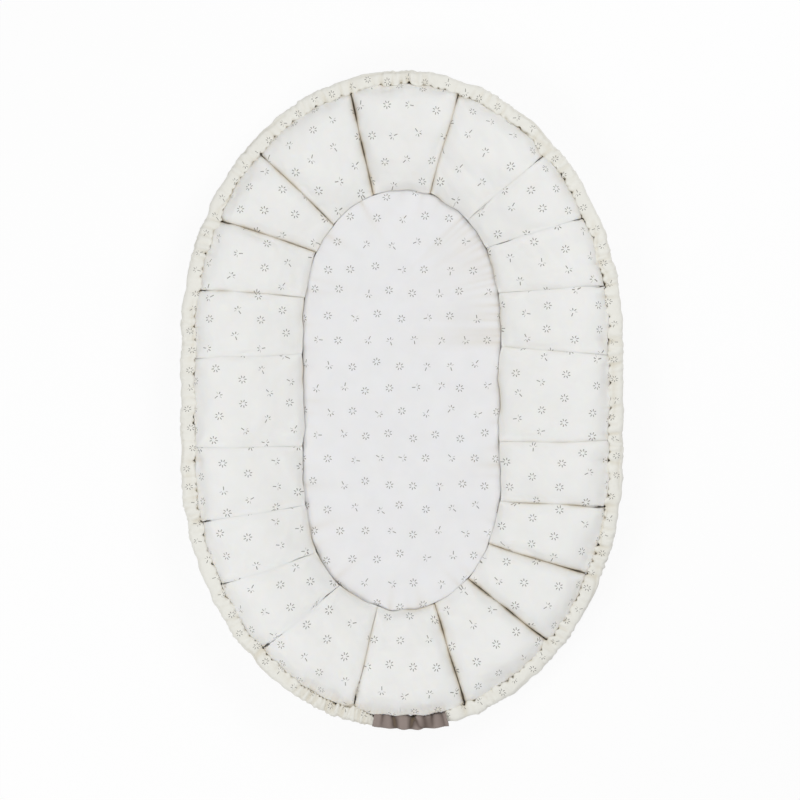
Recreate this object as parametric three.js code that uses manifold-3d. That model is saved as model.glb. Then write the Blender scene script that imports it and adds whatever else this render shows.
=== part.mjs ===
// Infant lounger: a ring of stuffed pads sewn round a soft base, drawn in by an elastic in a gathered
// rim casing, with a loose mattress lying in the well.
// Millimetres, +Z up, head end towards +Y. The origin is on the floor under the middle of the lounger.

import * as THREE from 'three';
import { mergeVertices } from 'three/addons/utils/BufferGeometryUtils.js';
import Module from 'manifold-3d';

const wasm = await Module();
wasm.setup();

// Wall, between the innermost and the outermost bulges of its pads
const wellWidth = 270;
const wellLength = 578;
const wellStraight = 236;
const wallWidth = 563;
const wallLength = 857;
const wallStraight = 164;
const wallHeight = 100;
const wallRise = 56;
const floorFlatten = 5;
const seamGap = 0.5;

// Where the seams between the pads meet the wall's outer and inner ovals, as shares of each oval's
// length, clockwise from the head. The pads were sewn by hand, so they differ.
const outerSeamShares = [
  -0.031, 0.034, 0.097, 0.141, 0.183, 0.224, 0.274, 0.313, 0.354, 0.4,
  0.462, 0.529, 0.594, 0.639, 0.678, 0.722, 0.774, 0.815, 0.858, 0.904,
];
const innerSeamShares = [
  -0.028, 0.027, 0.071, 0.103, 0.148, 0.199, 0.29, 0.346, 0.389, 0.428,
  0.468, 0.524, 0.565, 0.603, 0.65, 0.706, 0.794, 0.848, 0.893, 0.924,
];

// Form of one pad: how square its section and its crown are, how full it still is where it presses on
// its neighbour, and how far its two ends draw in there
const sectionPower = 2.6;
const crownPower = 2.8;
const seamFullnessShare = 0.62;
const seamReachShare = 0.95;
const padStations = 8;
const padProfileSteps = 14;

// Base: two cloth panels with a thin wadding between them, let in under the pads' inner bulges
const panelThickness = 1.2;
const waddingThickness = 5;
const layerGap = 0.3;
const baseGap = 0.7;
const baseSteps = 64;

// Rim: a gathered casing with a flat elastic in it, open at the foot, where a plain sleeve covers the
// elastic
const casingWidth = 22;
const casingHeight = 26;
const casingGap = 0.6;
const casingPinchShare = 0.78;
const casingGatherShares = [1, 0.93, 1.02, 0.91, 0.99];
const casingSides = 8;
const elasticWidth = 12;
const elasticThickness = 2;
const elasticClearance = 0.6;
const sleeveLength = 100;
const sleeveWidth = 20;
const sleeveHeight = 24;
const sleeveEndGap = 4;
const footPad = 10;
const sleevePuckerShares = [1, 1.03, 0.9, 1.02, 0.92, 1.03, 0.9, 1.02, 1];

// Mattress: a filled core in a cover that closes with a lapped slit underneath
const mattressClearance = 2;
const mattressThickness = 37;
const coverThickness = 1.2;
const coreClearance = 0.5;
const slitLength = 180;
const slitWidth = 4;
const mattressSteps = 36;
const cutOverrun = 2;

// The mattress's upright section from the middle underneath to the crown: how far in from the edge,
// as a share of the half width, and how high, as a share of the thickness
const mattressInsetShares = [0.16, 0.045, 0, 0.02, 0.09, 0.24, 0.55];
const mattressHeightShares = [0, 0.1, 0.36, 0.62, 0.83, 0.94, 0.99];

const clothRoughness = 0.9;
const bandRoughness = 0.8;
const fabricWhite = '#e9e9e5';
const casingWhite = '#ebeae3';
const mattressWhite = '#e7e7e6';
const waddingWhite = '#f4f4f0';
const elasticWhite = '#efece4';
const sleeveTaupe = '#968779';

const seamCount = outerSeamShares.length;
const wallOval = oval(wallWidth, wallLength, wallStraight);
const wellOval = oval(wellWidth, wellLength, wellStraight);
const nominalReach = (wallWidth - wellWidth) / 2;
const section = padSection();

// An oval with straight sides and elliptical ends, drawn clockwise from the middle of the head
function oval(width, length, straight) {
  const side = width / 2;
  const end = (length - straight) / 2;
  const path = new THREE.Path();
  path.absellipse(0, straight / 2, side, end, Math.PI / 2, 0, true, 0);
  path.absellipse(0, -straight / 2, side, end, 0, -Math.PI, true, 0);
  path.absellipse(0, straight / 2, side, end, Math.PI, Math.PI / 2, true, 0);
  return path;
}

// The point that lies a share of the oval's length on from the head
function pointAt(path, share) {
  return path.getPoint(((share % 1) + 1) % 1);
}

function mix(from, to, share) {
  return from + (to - from) * share;
}

// One coordinate of a superellipse: a cosine or a sine, squared off by the power
function squared(value, power) {
  return Math.sign(value) * Math.abs(value) ** (2 / power);
}

// The half axis of a leaning superellipse that makes it reach this far, given what the other adds
function axisFor(reach, other) {
  const dual = sectionPower / (sectionPower - 1);
  return (reach ** dual - other ** dual) ** (1 / dual);
}

// A pad's upright section leans outwards: its inner seam is low at the base and its outer seam is
// high at the rim. The two half axes are given by what each adds outwards and upwards.
function padSection() {
  const slope = Math.atan2(wallRise, nominalReach);
  const alongUp = wallRise / 2;
  const halfHeight = (wallHeight + floorFlatten) / 2;
  const thickUp = axisFor(halfHeight, alongUp);
  const thickOut = thickUp * Math.tan(slope);
  return { alongUp, thickUp, thickOut, middle: halfHeight - floorFlatten };
}

// The section's outline where the pad is this full and reaches this far out, from the well outwards
function sectionOutline(reach, fullness, drawn) {
  const alongOut = axisFor(reach / 2, section.thickOut) * drawn;
  const outline = [];
  for (let step = 0; step < padProfileSteps; step++) {
    const angle = (2 * Math.PI * step) / padProfileSteps;
    const along = squared(Math.cos(angle), sectionPower);
    const thick = squared(Math.sin(angle), sectionPower) * fullness;
    const out = reach / 2 + alongOut * along - section.thickOut * thick;
    const up = section.middle + section.alongUp * drawn * along + section.thickUp * thick;
    outline.push(new THREE.Vector2(out, Math.max(0, up)));
  }
  return outline;
}

// How far out a full pad's faceted surface lies at a height, on its well side or its rim side
function surfaceOut(height, rimSide) {
  const outline = sectionOutline(nominalReach, 1, 1);
  const crossings = [];
  outline.forEach((from, index) => {
    const to = outline[(index + 1) % outline.length];
    if (from.y > height !== to.y > height) {
      crossings.push(mix(from.x, to.x, (height - from.y) / (to.y - from.y)));
    }
  });
  return rimSide ? Math.max(...crossings) : Math.min(...crossings);
}

// A closed body from rings of points, each ring joined to the next, with a flat fan at each end
function bodyFromRings(rings) {
  const positions = rings.flat().flatMap((point) => point.toArray());
  const sides = rings[0].length;
  const index = [];
  for (let ring = 0; ring + 1 < rings.length; ring++) {
    joinRings(index, ring * sides, (ring + 1) * sides, sides);
  }
  for (let side = 1; side + 1 < sides; side++) {
    const last = (rings.length - 1) * sides;
    index.push(0, side, side + 1);
    index.push(last, last + side + 1, last + side);
  }
  return geometryOf(positions, index);
}

// Two triangles for each side of the band between two rings
function joinRings(index, first, second, sides) {
  for (let side = 0; side < sides; side++) {
    const next = (side + 1) % sides;
    index.push(first + side, second + side, second + next);
    index.push(first + side, second + next, first + next);
  }
}

function geometryOf(positions, index) {
  const geometry = new THREE.BufferGeometry();
  geometry.setAttribute('position', new THREE.Float32BufferAttribute(positions, 3));
  geometry.setIndex(index);
  return geometry;
}

function meshOf(name, geometry, color, roughness) {
  const facing = signedVolume(geometry) < 0 ? turnedOut(geometry) : geometry;
  facing.computeVertexNormals();
  const mesh = new THREE.Mesh(facing, new THREE.MeshStandardMaterial({ color, roughness, metalness: 0 }));
  mesh.name = name;
  return mesh;
}

function signedVolume(geometry) {
  const position = geometry.getAttribute('position');
  const index = geometry.index.array;
  const [a, b, c] = [new THREE.Vector3(), new THREE.Vector3(), new THREE.Vector3()];
  let volume = 0;
  for (let corner = 0; corner < index.length; corner += 3) {
    a.fromBufferAttribute(position, index[corner]);
    b.fromBufferAttribute(position, index[corner + 1]);
    c.fromBufferAttribute(position, index[corner + 2]);
    volume += a.dot(b.cross(c));
  }
  return volume;
}

function turnedOut(geometry) {
  const turned = geometry.clone();
  turned.setIndex(Array.from(geometry.index.array).reverse());
  return turned;
}

// One stuffed pad between two seams. Its stations crowd towards the seams, where the cloth turns
// down into the crease, and each lies in an upright plane, so that neighbours meet flat.
function padGeometry(first) {
  const second = (first + 1) % seamCount;
  const turn = second === 0 ? 1 : 0;
  const outerInset = seamGap / 2 / wallOval.getLength();
  const innerInset = seamGap / 2 / wellOval.getLength();
  const rings = [];
  for (let station = 0; station <= padStations; station++) {
    const across = (1 - Math.cos((Math.PI * station) / padStations)) / 2;
    const crown = (1 - Math.abs(2 * across - 1) ** crownPower) ** (1 / crownPower);
    const outer = pointAt(wallOval, mix(
      outerSeamShares[first] + outerInset,
      outerSeamShares[second] + turn - outerInset,
      across,
    ));
    const inner = pointAt(wellOval, mix(
      innerSeamShares[first] + innerInset,
      innerSeamShares[second] + turn - innerInset,
      across,
    ));
    const reach = outer.distanceTo(inner);
    const fullness = mix(seamFullnessShare, 1, crown);
    const drawn = mix(seamReachShare, 1, crown);
    rings.push(sectionOutline(reach, fullness, drawn).map((point) => {
      const plan = inner.clone().lerp(outer, point.x / reach);
      return new THREE.Vector3(plan.x, plan.y, point.y);
    }));
  }
  return bodyFromRings(rings);
}

// A flat layer of the base, as far out as the pads' undersides let it
function baseLayer(name, bottom, thickness, color) {
  const lap = surfaceOut(baseHeight, false) - baseGap;
  const outline = oval(wellWidth + 2 * lap, wellLength + 2 * lap, wellStraight);
  const shape = new THREE.Shape(outline.getSpacedPoints(baseSteps).slice(0, baseSteps));
  const geometry = new THREE.ExtrudeGeometry(shape, { depth: thickness, bevelEnabled: false });
  geometry.translate(0, 0, bottom);
  return meshOf(name, welded(geometry), color, clothRoughness);
}

function welded(geometry) {
  geometry.deleteAttribute('normal');
  geometry.deleteAttribute('uv');
  return mergeVertices(geometry);
}

const waddingBottom = panelThickness + layerGap;
const liningBottom = waddingBottom + waddingThickness + layerGap;
const baseHeight = liningBottom + panelThickness;

// The rim runs level at the height of the pads' outer seams
const rimHeight = section.middle + section.alongUp;
const rimOut = surfaceOut(rimHeight, true) - nominalReach + casingGap + casingWidth / 2;
const rimOval = oval(wallWidth + 2 * rimOut, wallLength + 2 * rimOut, wallStraight);
const tangentShare = 0.0005;

// The sleeve is sewn on at the middle of the foot pad
const footShare = (outerSeamShares[footPad] + outerSeamShares[footPad + 1]) / 2;

// A station on the rim: where it is, which way is outwards there, and how full the cloth is
function rimStation(share, fullness) {
  const place = pointAt(rimOval, share);
  const behind = pointAt(rimOval, share - tangentShare);
  const ahead = pointAt(rimOval, share + tangentShare).sub(behind).normalize();
  return { place, outward: new THREE.Vector2(-ahead.y, ahead.x), fullness };
}

// The casing is pinched where a seam meets it and gathered between the seams
function casingStations() {
  const opening = (sleeveLength / 2 + sleeveEndGap) / rimOval.getLength();
  const stations = [];
  for (let pad = 0; pad < seamCount; pad++) {
    const next = pad + 1 < seamCount ? outerSeamShares[pad + 1] : outerSeamShares[0] + 1;
    casingGatherShares.forEach((gather, fold) => {
      const share = mix(outerSeamShares[pad], next, fold / casingGatherShares.length);
      stations.push({ share, fullness: fold === 0 ? casingPinchShare : gather });
    });
  }
  const clear = stations.filter((station) => Math.abs(station.share - footShare) > opening);
  const after = clear.filter((station) => station.share > footShare);
  const before = clear.filter((station) => station.share < footShare);
  const around = after.concat(before.map((station) => ({ ...station, share: station.share + 1 })));
  around.unshift({ share: footShare + opening, fullness: casingPinchShare });
  around.push({ share: footShare - opening + 1, fullness: casingPinchShare });
  return around.map((station) => rimStation(station.share, station.fullness));
}

function sleeveStations() {
  const half = sleeveLength / 2 / rimOval.getLength();
  return sleevePuckerShares.map((pucker, fold) => {
    const along = fold / (sleevePuckerShares.length - 1);
    return rimStation(mix(footShare - half, footShare + half, along), pucker);
  });
}

// A ring round the rim's line: a rounded section for cloth
function clothRing(station, width, height, sides) {
  const ring = [];
  for (let side = 0; side < sides; side++) {
    const angle = (2 * Math.PI * (side + 0.5)) / sides;
    const out = (width / 2) * squared(Math.cos(angle), sectionPower) * station.fullness;
    const up = (height / 2) * squared(Math.sin(angle), sectionPower) * station.fullness;
    ring.push(rimPoint(station, out, up));
  }
  return ring;
}

// A square section for the elastic and for the bore that it runs in
function bandRing(station, width, height) {
  const corners = [[1, 1], [-1, 1], [-1, -1], [1, -1]];
  return corners.map(([out, up]) => rimPoint(station, (out * width) / 2, (up * height) / 2));
}

function rimPoint(station, out, up) {
  const plan = station.place.clone().addScaledVector(station.outward, out);
  return new THREE.Vector3(plan.x, plan.y, rimHeight + up);
}

// A cloth tube along the stations with a bore for the elastic, open at both ends
function clothTube(stations, width, height, sides) {
  const outer = bodyFromRings(stations.map((station) => clothRing(station, width, height, sides)));
  const boreStations = stations.map((station) => ({ ...station }));
  for (const [end, beside] of [[0, 1], [stations.length - 1, stations.length - 2]]) {
    const away = stations[end].place.clone().sub(stations[beside].place).setLength(cutOverrun);
    boreStations[end].place = stations[end].place.clone().add(away);
  }
  const bore = bodyFromRings(boreStations.map((station) => bandRing(
    station,
    elasticThickness + 2 * elasticClearance,
    elasticWidth + 2 * elasticClearance,
  )));
  return fromSolid(solidOf(outer).subtract(solidOf(bore)));
}

function solidOf(geometry) {
  const facing = signedVolume(geometry) < 0 ? turnedOut(geometry) : geometry;
  return new wasm.Manifold(new wasm.Mesh({
    numProp: 3,
    vertProperties: new Float32Array(facing.getAttribute('position').array),
    triVerts: new Uint32Array(facing.index.array),
  }));
}

function fromSolid(solid) {
  const mesh = solid.getMesh();
  return geometryOf(Array.from(mesh.vertProperties), Array.from(mesh.triVerts));
}

// The elastic is one closed band through the casing and the sleeve
function elasticGeometry(stations) {
  const rings = stations.map((station) => bandRing(station, elasticThickness, elasticWidth));
  const sides = rings[0].length;
  const index = [];
  rings.forEach((ring, place) => {
    joinRings(index, place * sides, ((place + 1) % rings.length) * sides, sides);
  });
  return geometryOf(rings.flat().flatMap((point) => point.toArray()), index);
}

// A soft slab that follows the well: flat underneath, drawn in at the bottom, crowned on top
function cushionGeometry(inset) {
  const width = wellWidth - 2 * (mattressClearance + inset);
  const length = wellLength - 2 * (mattressClearance + inset);
  const bottom = baseHeight + layerGap + inset;
  const thickness = mattressThickness - 2 * inset;
  const positions = [0, 0, bottom];
  const index = [];
  mattressInsetShares.forEach((insetShare, level) => {
    const drawn = (insetShare * width) / 2;
    const outline = oval(width - 2 * drawn, length - 2 * drawn, wellStraight);
    const up = bottom + mattressHeightShares[level] * thickness;
    for (let step = 0; step < mattressSteps; step++) {
      const point = pointAt(outline, step / mattressSteps);
      positions.push(point.x, point.y, up);
    }
    if (level > 0) {
      joinRings(index, 1 + (level - 1) * mattressSteps, 1 + level * mattressSteps, mattressSteps);
    }
  });
  const top = positions.length / 3;
  const lastRing = top - mattressSteps;
  positions.push(0, 0, bottom + thickness);
  for (let step = 0; step < mattressSteps; step++) {
    const next = (step + 1) % mattressSteps;
    index.push(0, 1 + step, 1 + next);
    index.push(top, lastRing + next, lastRing + step);
  }
  return geometryOf(positions, index);
}

function coverGeometry() {
  const slit = new THREE.BoxGeometry(slitLength, slitWidth, coverThickness + 2 * cutOverrun);
  slit.translate(0, 0, baseHeight + layerGap + coverThickness / 2);
  const shell = solidOf(cushionGeometry(0)).subtract(solidOf(cushionGeometry(coverThickness)));
  return fromSolid(shell.subtract(solidOf(welded(slit))));
}

const lounger = new THREE.Group();

for (let pad = 0; pad < seamCount; pad++) {
  const name = `wall_pad_${String(pad + 1).padStart(2, '0')}`;
  lounger.add(meshOf(name, padGeometry(pad), fabricWhite, clothRoughness));
}

lounger.add(baseLayer('base_underside', 0, panelThickness, fabricWhite));
lounger.add(baseLayer('base_wadding', waddingBottom, waddingThickness, waddingWhite));
lounger.add(baseLayer('base_lining', liningBottom, panelThickness, fabricWhite));

const casing = casingStations();
const sleeve = sleeveStations();
lounger.add(meshOf(
  'rim_casing',
  clothTube(casing, casingWidth, casingHeight, casingSides),
  casingWhite,
  clothRoughness,
));
lounger.add(meshOf(
  'foot_sleeve',
  clothTube(sleeve, sleeveWidth, sleeveHeight, casingSides),
  sleeveTaupe,
  clothRoughness,
));
lounger.add(meshOf(
  'rim_elastic',
  elasticGeometry([...sleeve, ...casing]),
  elasticWhite,
  bandRoughness,
));

lounger.add(meshOf('mattress_cover', coverGeometry(), mattressWhite, clothRoughness));
lounger.add(meshOf(
  'mattress_core',
  cushionGeometry(coverThickness + coreClearance),
  waddingWhite,
  clothRoughness,
));

export default lounger;
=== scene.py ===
"""The looks of an infant lounger: stuffed wall pads, a gathered rim casing with its elastic and sleeve,
a soft base and a loose covered mattress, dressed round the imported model."""

import logging
import math
from collections.abc import Iterator
from contextlib import contextmanager
from dataclasses import dataclass
from enum import Enum

import bpy
import numpy as np
from bpy.types import ID, Material, Node, NodeSocket, NodeTree, Object, Scene, World
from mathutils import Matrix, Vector
from numpy import ndarray


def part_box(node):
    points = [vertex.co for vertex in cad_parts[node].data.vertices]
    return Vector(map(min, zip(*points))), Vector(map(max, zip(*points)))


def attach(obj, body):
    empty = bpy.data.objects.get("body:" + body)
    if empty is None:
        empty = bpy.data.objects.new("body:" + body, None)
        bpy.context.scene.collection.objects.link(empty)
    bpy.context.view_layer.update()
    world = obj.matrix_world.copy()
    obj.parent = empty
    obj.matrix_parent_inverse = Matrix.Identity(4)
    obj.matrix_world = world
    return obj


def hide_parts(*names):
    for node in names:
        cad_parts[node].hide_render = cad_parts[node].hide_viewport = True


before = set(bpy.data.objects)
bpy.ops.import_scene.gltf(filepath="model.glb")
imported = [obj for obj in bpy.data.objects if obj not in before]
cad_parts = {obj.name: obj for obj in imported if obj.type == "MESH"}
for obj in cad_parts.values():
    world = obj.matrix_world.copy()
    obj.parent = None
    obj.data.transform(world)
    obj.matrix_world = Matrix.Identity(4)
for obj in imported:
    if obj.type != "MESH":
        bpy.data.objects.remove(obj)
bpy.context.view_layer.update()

log = logging.getLogger("lounger")

Pair = tuple[float, float]

MM = 0.001
TURN = 2 * math.pi
UP = np.array((0.0, 0.0, 1.0))
WHITE = (1.0, 1.0, 1.0, 1.0)
FOLD_ANGLE = math.radians(30)
TINY = 1e-12


class Held(Enum):
    """How a cloth piece is held on the finished lounger."""

    GATHERED = "gathered"
    LAID = "laid"


class Body(Enum):
    """The two bodies that the pieces move with."""

    NEST = "nest"
    MATTRESS = "mattress"


class Slot(Enum):
    """The record's material slots."""

    WALL = "wall_fabric"
    BASE = "base_fabric"
    CASING = "casing_fabric"
    MATTRESS = "mattress_fabric"
    SLEEVE = "sleeve_fabric"
    ELASTIC = "elastic"
    WADDING = "wadding"


def linear(colour: str) -> tuple[float, float, float, float]:
    """Turns an sRGB hex colour into linear light.

    Args:
        colour: The colour as #rrggbb.

    Returns:
        Red, green, blue and an alpha of 1.
    """
    shares = [int(colour[i:i + 2], 16) / 255 for i in (1, 3, 5)]
    red, green, blue = (
        s / 12.92 if s <= 0.04045 else ((s + 0.055) / 1.055) ** 2.4 for s in shares
    )
    return red, green, blue, 1.0


def add_node(tree: NodeTree, kind: str, inputs: dict | None = None, **settings: object) -> Node:
    """Adds one node with its settings and its links.

    Args:
        tree: The node tree.
        kind: The shader node's type, such as Math.
        inputs: What each input socket takes: a value, or an output socket to link.
        **settings: The node's own settings.

    Returns:
        The new node.
    """
    node = tree.nodes.new(f"ShaderNode{kind}")
    for name, value in settings.items():
        setattr(node, name, value)
    for socket, value in (inputs or {}).items():
        if isinstance(value, NodeSocket):
            tree.links.new(value, node.inputs[socket])
        else:
            node.inputs[socket].default_value = value
    return node


def empty_tree(owner: Material | World) -> NodeTree:
    """Gives a material or a world nodes of its own, with none in them yet."""
    owner.use_nodes = True
    owner.node_tree.nodes.clear()
    return owner.node_tree


def add_object(name: str, data: ID) -> Object:
    """Puts a mesh, lamp or camera into the scene as a new object at the origin."""
    thing = bpy.data.objects.new(name, data)
    bpy.context.scene.collection.objects.link(thing)
    return thing


def activate(piece: Object) -> None:
    """Selects one object alone and makes it active."""
    bpy.ops.object.select_all(action="DESELECT")
    piece.select_set(True)
    bpy.context.view_layer.objects.active = piece


@contextmanager
def editing(piece: Object) -> Iterator[None]:
    """Opens a mesh in edit mode with all of it selected, and faces it outwards before closing it."""
    activate(piece)
    bpy.ops.object.mode_set(mode="EDIT")
    bpy.ops.mesh.select_all(action="SELECT")
    yield
    bpy.ops.mesh.select_all(action="SELECT")
    bpy.ops.mesh.normals_make_consistent(inside=False)
    bpy.ops.object.mode_set(mode="OBJECT")


def finish_modifier(piece: Object, kind: str, **settings: object) -> None:
    """Adds one modifier with its settings and applies it.

    Args:
        piece: The piece that gets it.
        kind: The modifier's type.
        **settings: The modifier's settings.
    """
    modifier = piece.modifiers.new(kind.lower(), kind)
    for name, value in settings.items():
        setattr(modifier, name, value)
    activate(piece)
    bpy.ops.object.modifier_apply(modifier=modifier.name)


def read(
    items: bpy.types.bpy_prop_collection, name: str, numbers: int = 1, kind: type = np.int32
) -> ndarray:
    """Reads one property of all of a mesh's items.

    Args:
        items: The mesh's vertices, edges or the like.
        name: The property's name.
        numbers: How many numbers it holds for each item.
        kind: What kind of numbers they are.

    Returns:
        One row for each item, or one number where there is only one.
    """
    flat = np.empty(len(items) * numbers, kind)
    items.foreach_get(name, flat)
    return flat.reshape(-1, numbers) if numbers > 1 else flat


def coordinates(piece: Object) -> ndarray:
    """Reads a mesh's vertices as rows of x, y and z."""
    return read(piece.data.vertices, "co", 3, float)


def normals(piece: Object) -> ndarray:
    """Reads a mesh's vertex normals as rows."""
    return read(piece.data.vertex_normals, "vector", 3, float)


def place_vertices(piece: Object, points: ndarray) -> None:
    """Moves a mesh's vertices to new places."""
    piece.data.vertices.foreach_set("co", points.ravel())
    piece.data.update()


def paint_crease_shade(piece: Object, crease: ndarray) -> None:
    """Stores how much shade is painted on each vertex, from 0 to 1, where the cloth's material reads it.
    """
    attribute = piece.data.attributes.new("crease", "FLOAT", "POINT")
    attribute.data.foreach_set("value", np.clip(crease, 0, 1).astype(np.float32))


def set_uv(piece: Object, uv: ndarray, wrap: float = 0, shift: float = 0) -> None:
    """Lays the cloth's own coordinates on a mesh, in metres along and round the piece.

    Args:
        piece: The piece.
        uv: One pair for each vertex.
        wrap: The length after which the second coordinate starts again, or 0.
        shift: How far the second coordinate is moved at last.
    """
    mesh = piece.data
    flat = uv[read(mesh.loops, "vertex_index")]
    if wrap:
        starts = read(mesh.polygons, "loop_start")
        span = np.maximum.reduceat(flat[:, 1], starts) - np.minimum.reduceat(flat[:, 1], starts)
        split = np.repeat(span > wrap / 2, read(mesh.polygons, "loop_total"))
        flat[:, 1] += np.where(split & (flat[:, 1] < wrap / 2), wrap, 0) + shift
    layer = mesh.uv_layers.new(name="cloth")
    layer.uv.foreach_set("vector", flat.ravel().astype(np.float32))


def smooth_step(values: ndarray, low: float, high: float) -> ndarray:
    """Rises smoothly from 0 at the low value to 1 at the high one."""
    share = np.clip((values - low) / (high - low), 0, 1)
    return share * share * (3 - 2 * share)


def fade(distance: ndarray, reach: float, power: float = 1) -> ndarray:
    """Falls from 1 at no distance to about a third at the reach, and on towards 0."""
    return np.exp(-(distance / reach) ** power)


def spread(values: ndarray, over: float = 0, low: float = 0, high: float = 1) -> ndarray:
    """Stretches values to run from low to high, and past both ends by a share of that."""
    share = (values - values.min()) / (values.max() - values.min())
    return (share * (1 + 2 * over) - over) * (high - low) + low


@dataclass(frozen=True)
class Wave:
    """A pattern of seeded ripples."""

    length: float
    height: float  # How far they rise, or how strong they are.
    seed: int
    count: int = 7

    def at(self, points: ndarray, number: int = 0) -> ndarray:
        """Adds up plane waves of about the length in seeded directions.

        Args:
            points: Rows of coordinates, or distances along a line.
            number: What is added to the seed, for one of several like patterns.

        Returns:
            One number for each point, mostly within the height.
        """
        points = points.reshape(len(points), -1)
        draw = np.random.default_rng(self.seed + number)
        total = np.zeros(len(points))
        for _ in range(self.count):
            direction = draw.normal(size=points.shape[1])
            direction /= np.linalg.norm(direction)
            length = self.length * draw.uniform(0.7, 1.4)
            total += np.sin(TURN * (points @ direction / length + draw.random()))
        return total / math.sqrt(self.count) * self.height


def copy_of_node(node: str, name: str) -> Object:
    """Copies a CAD node's solid into a new object with its vertices merged.

    Args:
        node: The CAD node's name.
        name: The new object's name.

    Returns:
        The new object, at the origin.
    """
    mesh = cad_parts[node].data.copy()
    mesh.materials.clear()
    piece = add_object(name, mesh)
    with editing(piece):
        bpy.ops.mesh.remove_doubles(threshold=0.01 * MM)
        bpy.ops.mesh.tris_convert_to_quads()
    return piece


def dress(
    piece: Object,
    material: Material,
    body: Body,
    node: str,
    corner: float = math.pi,
) -> None:
    """Gives a finished piece its material and its body, and hides the CAD node that it stands for.

    Args:
        piece: The finished piece.
        material: Its material.
        body: The body that it moves with.
        node: The CAD node that it replaces.
        corner: The angle from which an edge is shaded as a sharp fold.
    """
    piece.data.materials.clear()
    piece.data.materials.append(material)
    for face in piece.data.polygons:
        face.use_smooth = True
    piece.data.set_sharp_from_angle(angle=corner)
    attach(piece, body.value)
    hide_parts(node)
    log.info("%s: %d faces", piece.name, len(piece.data.polygons))


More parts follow.
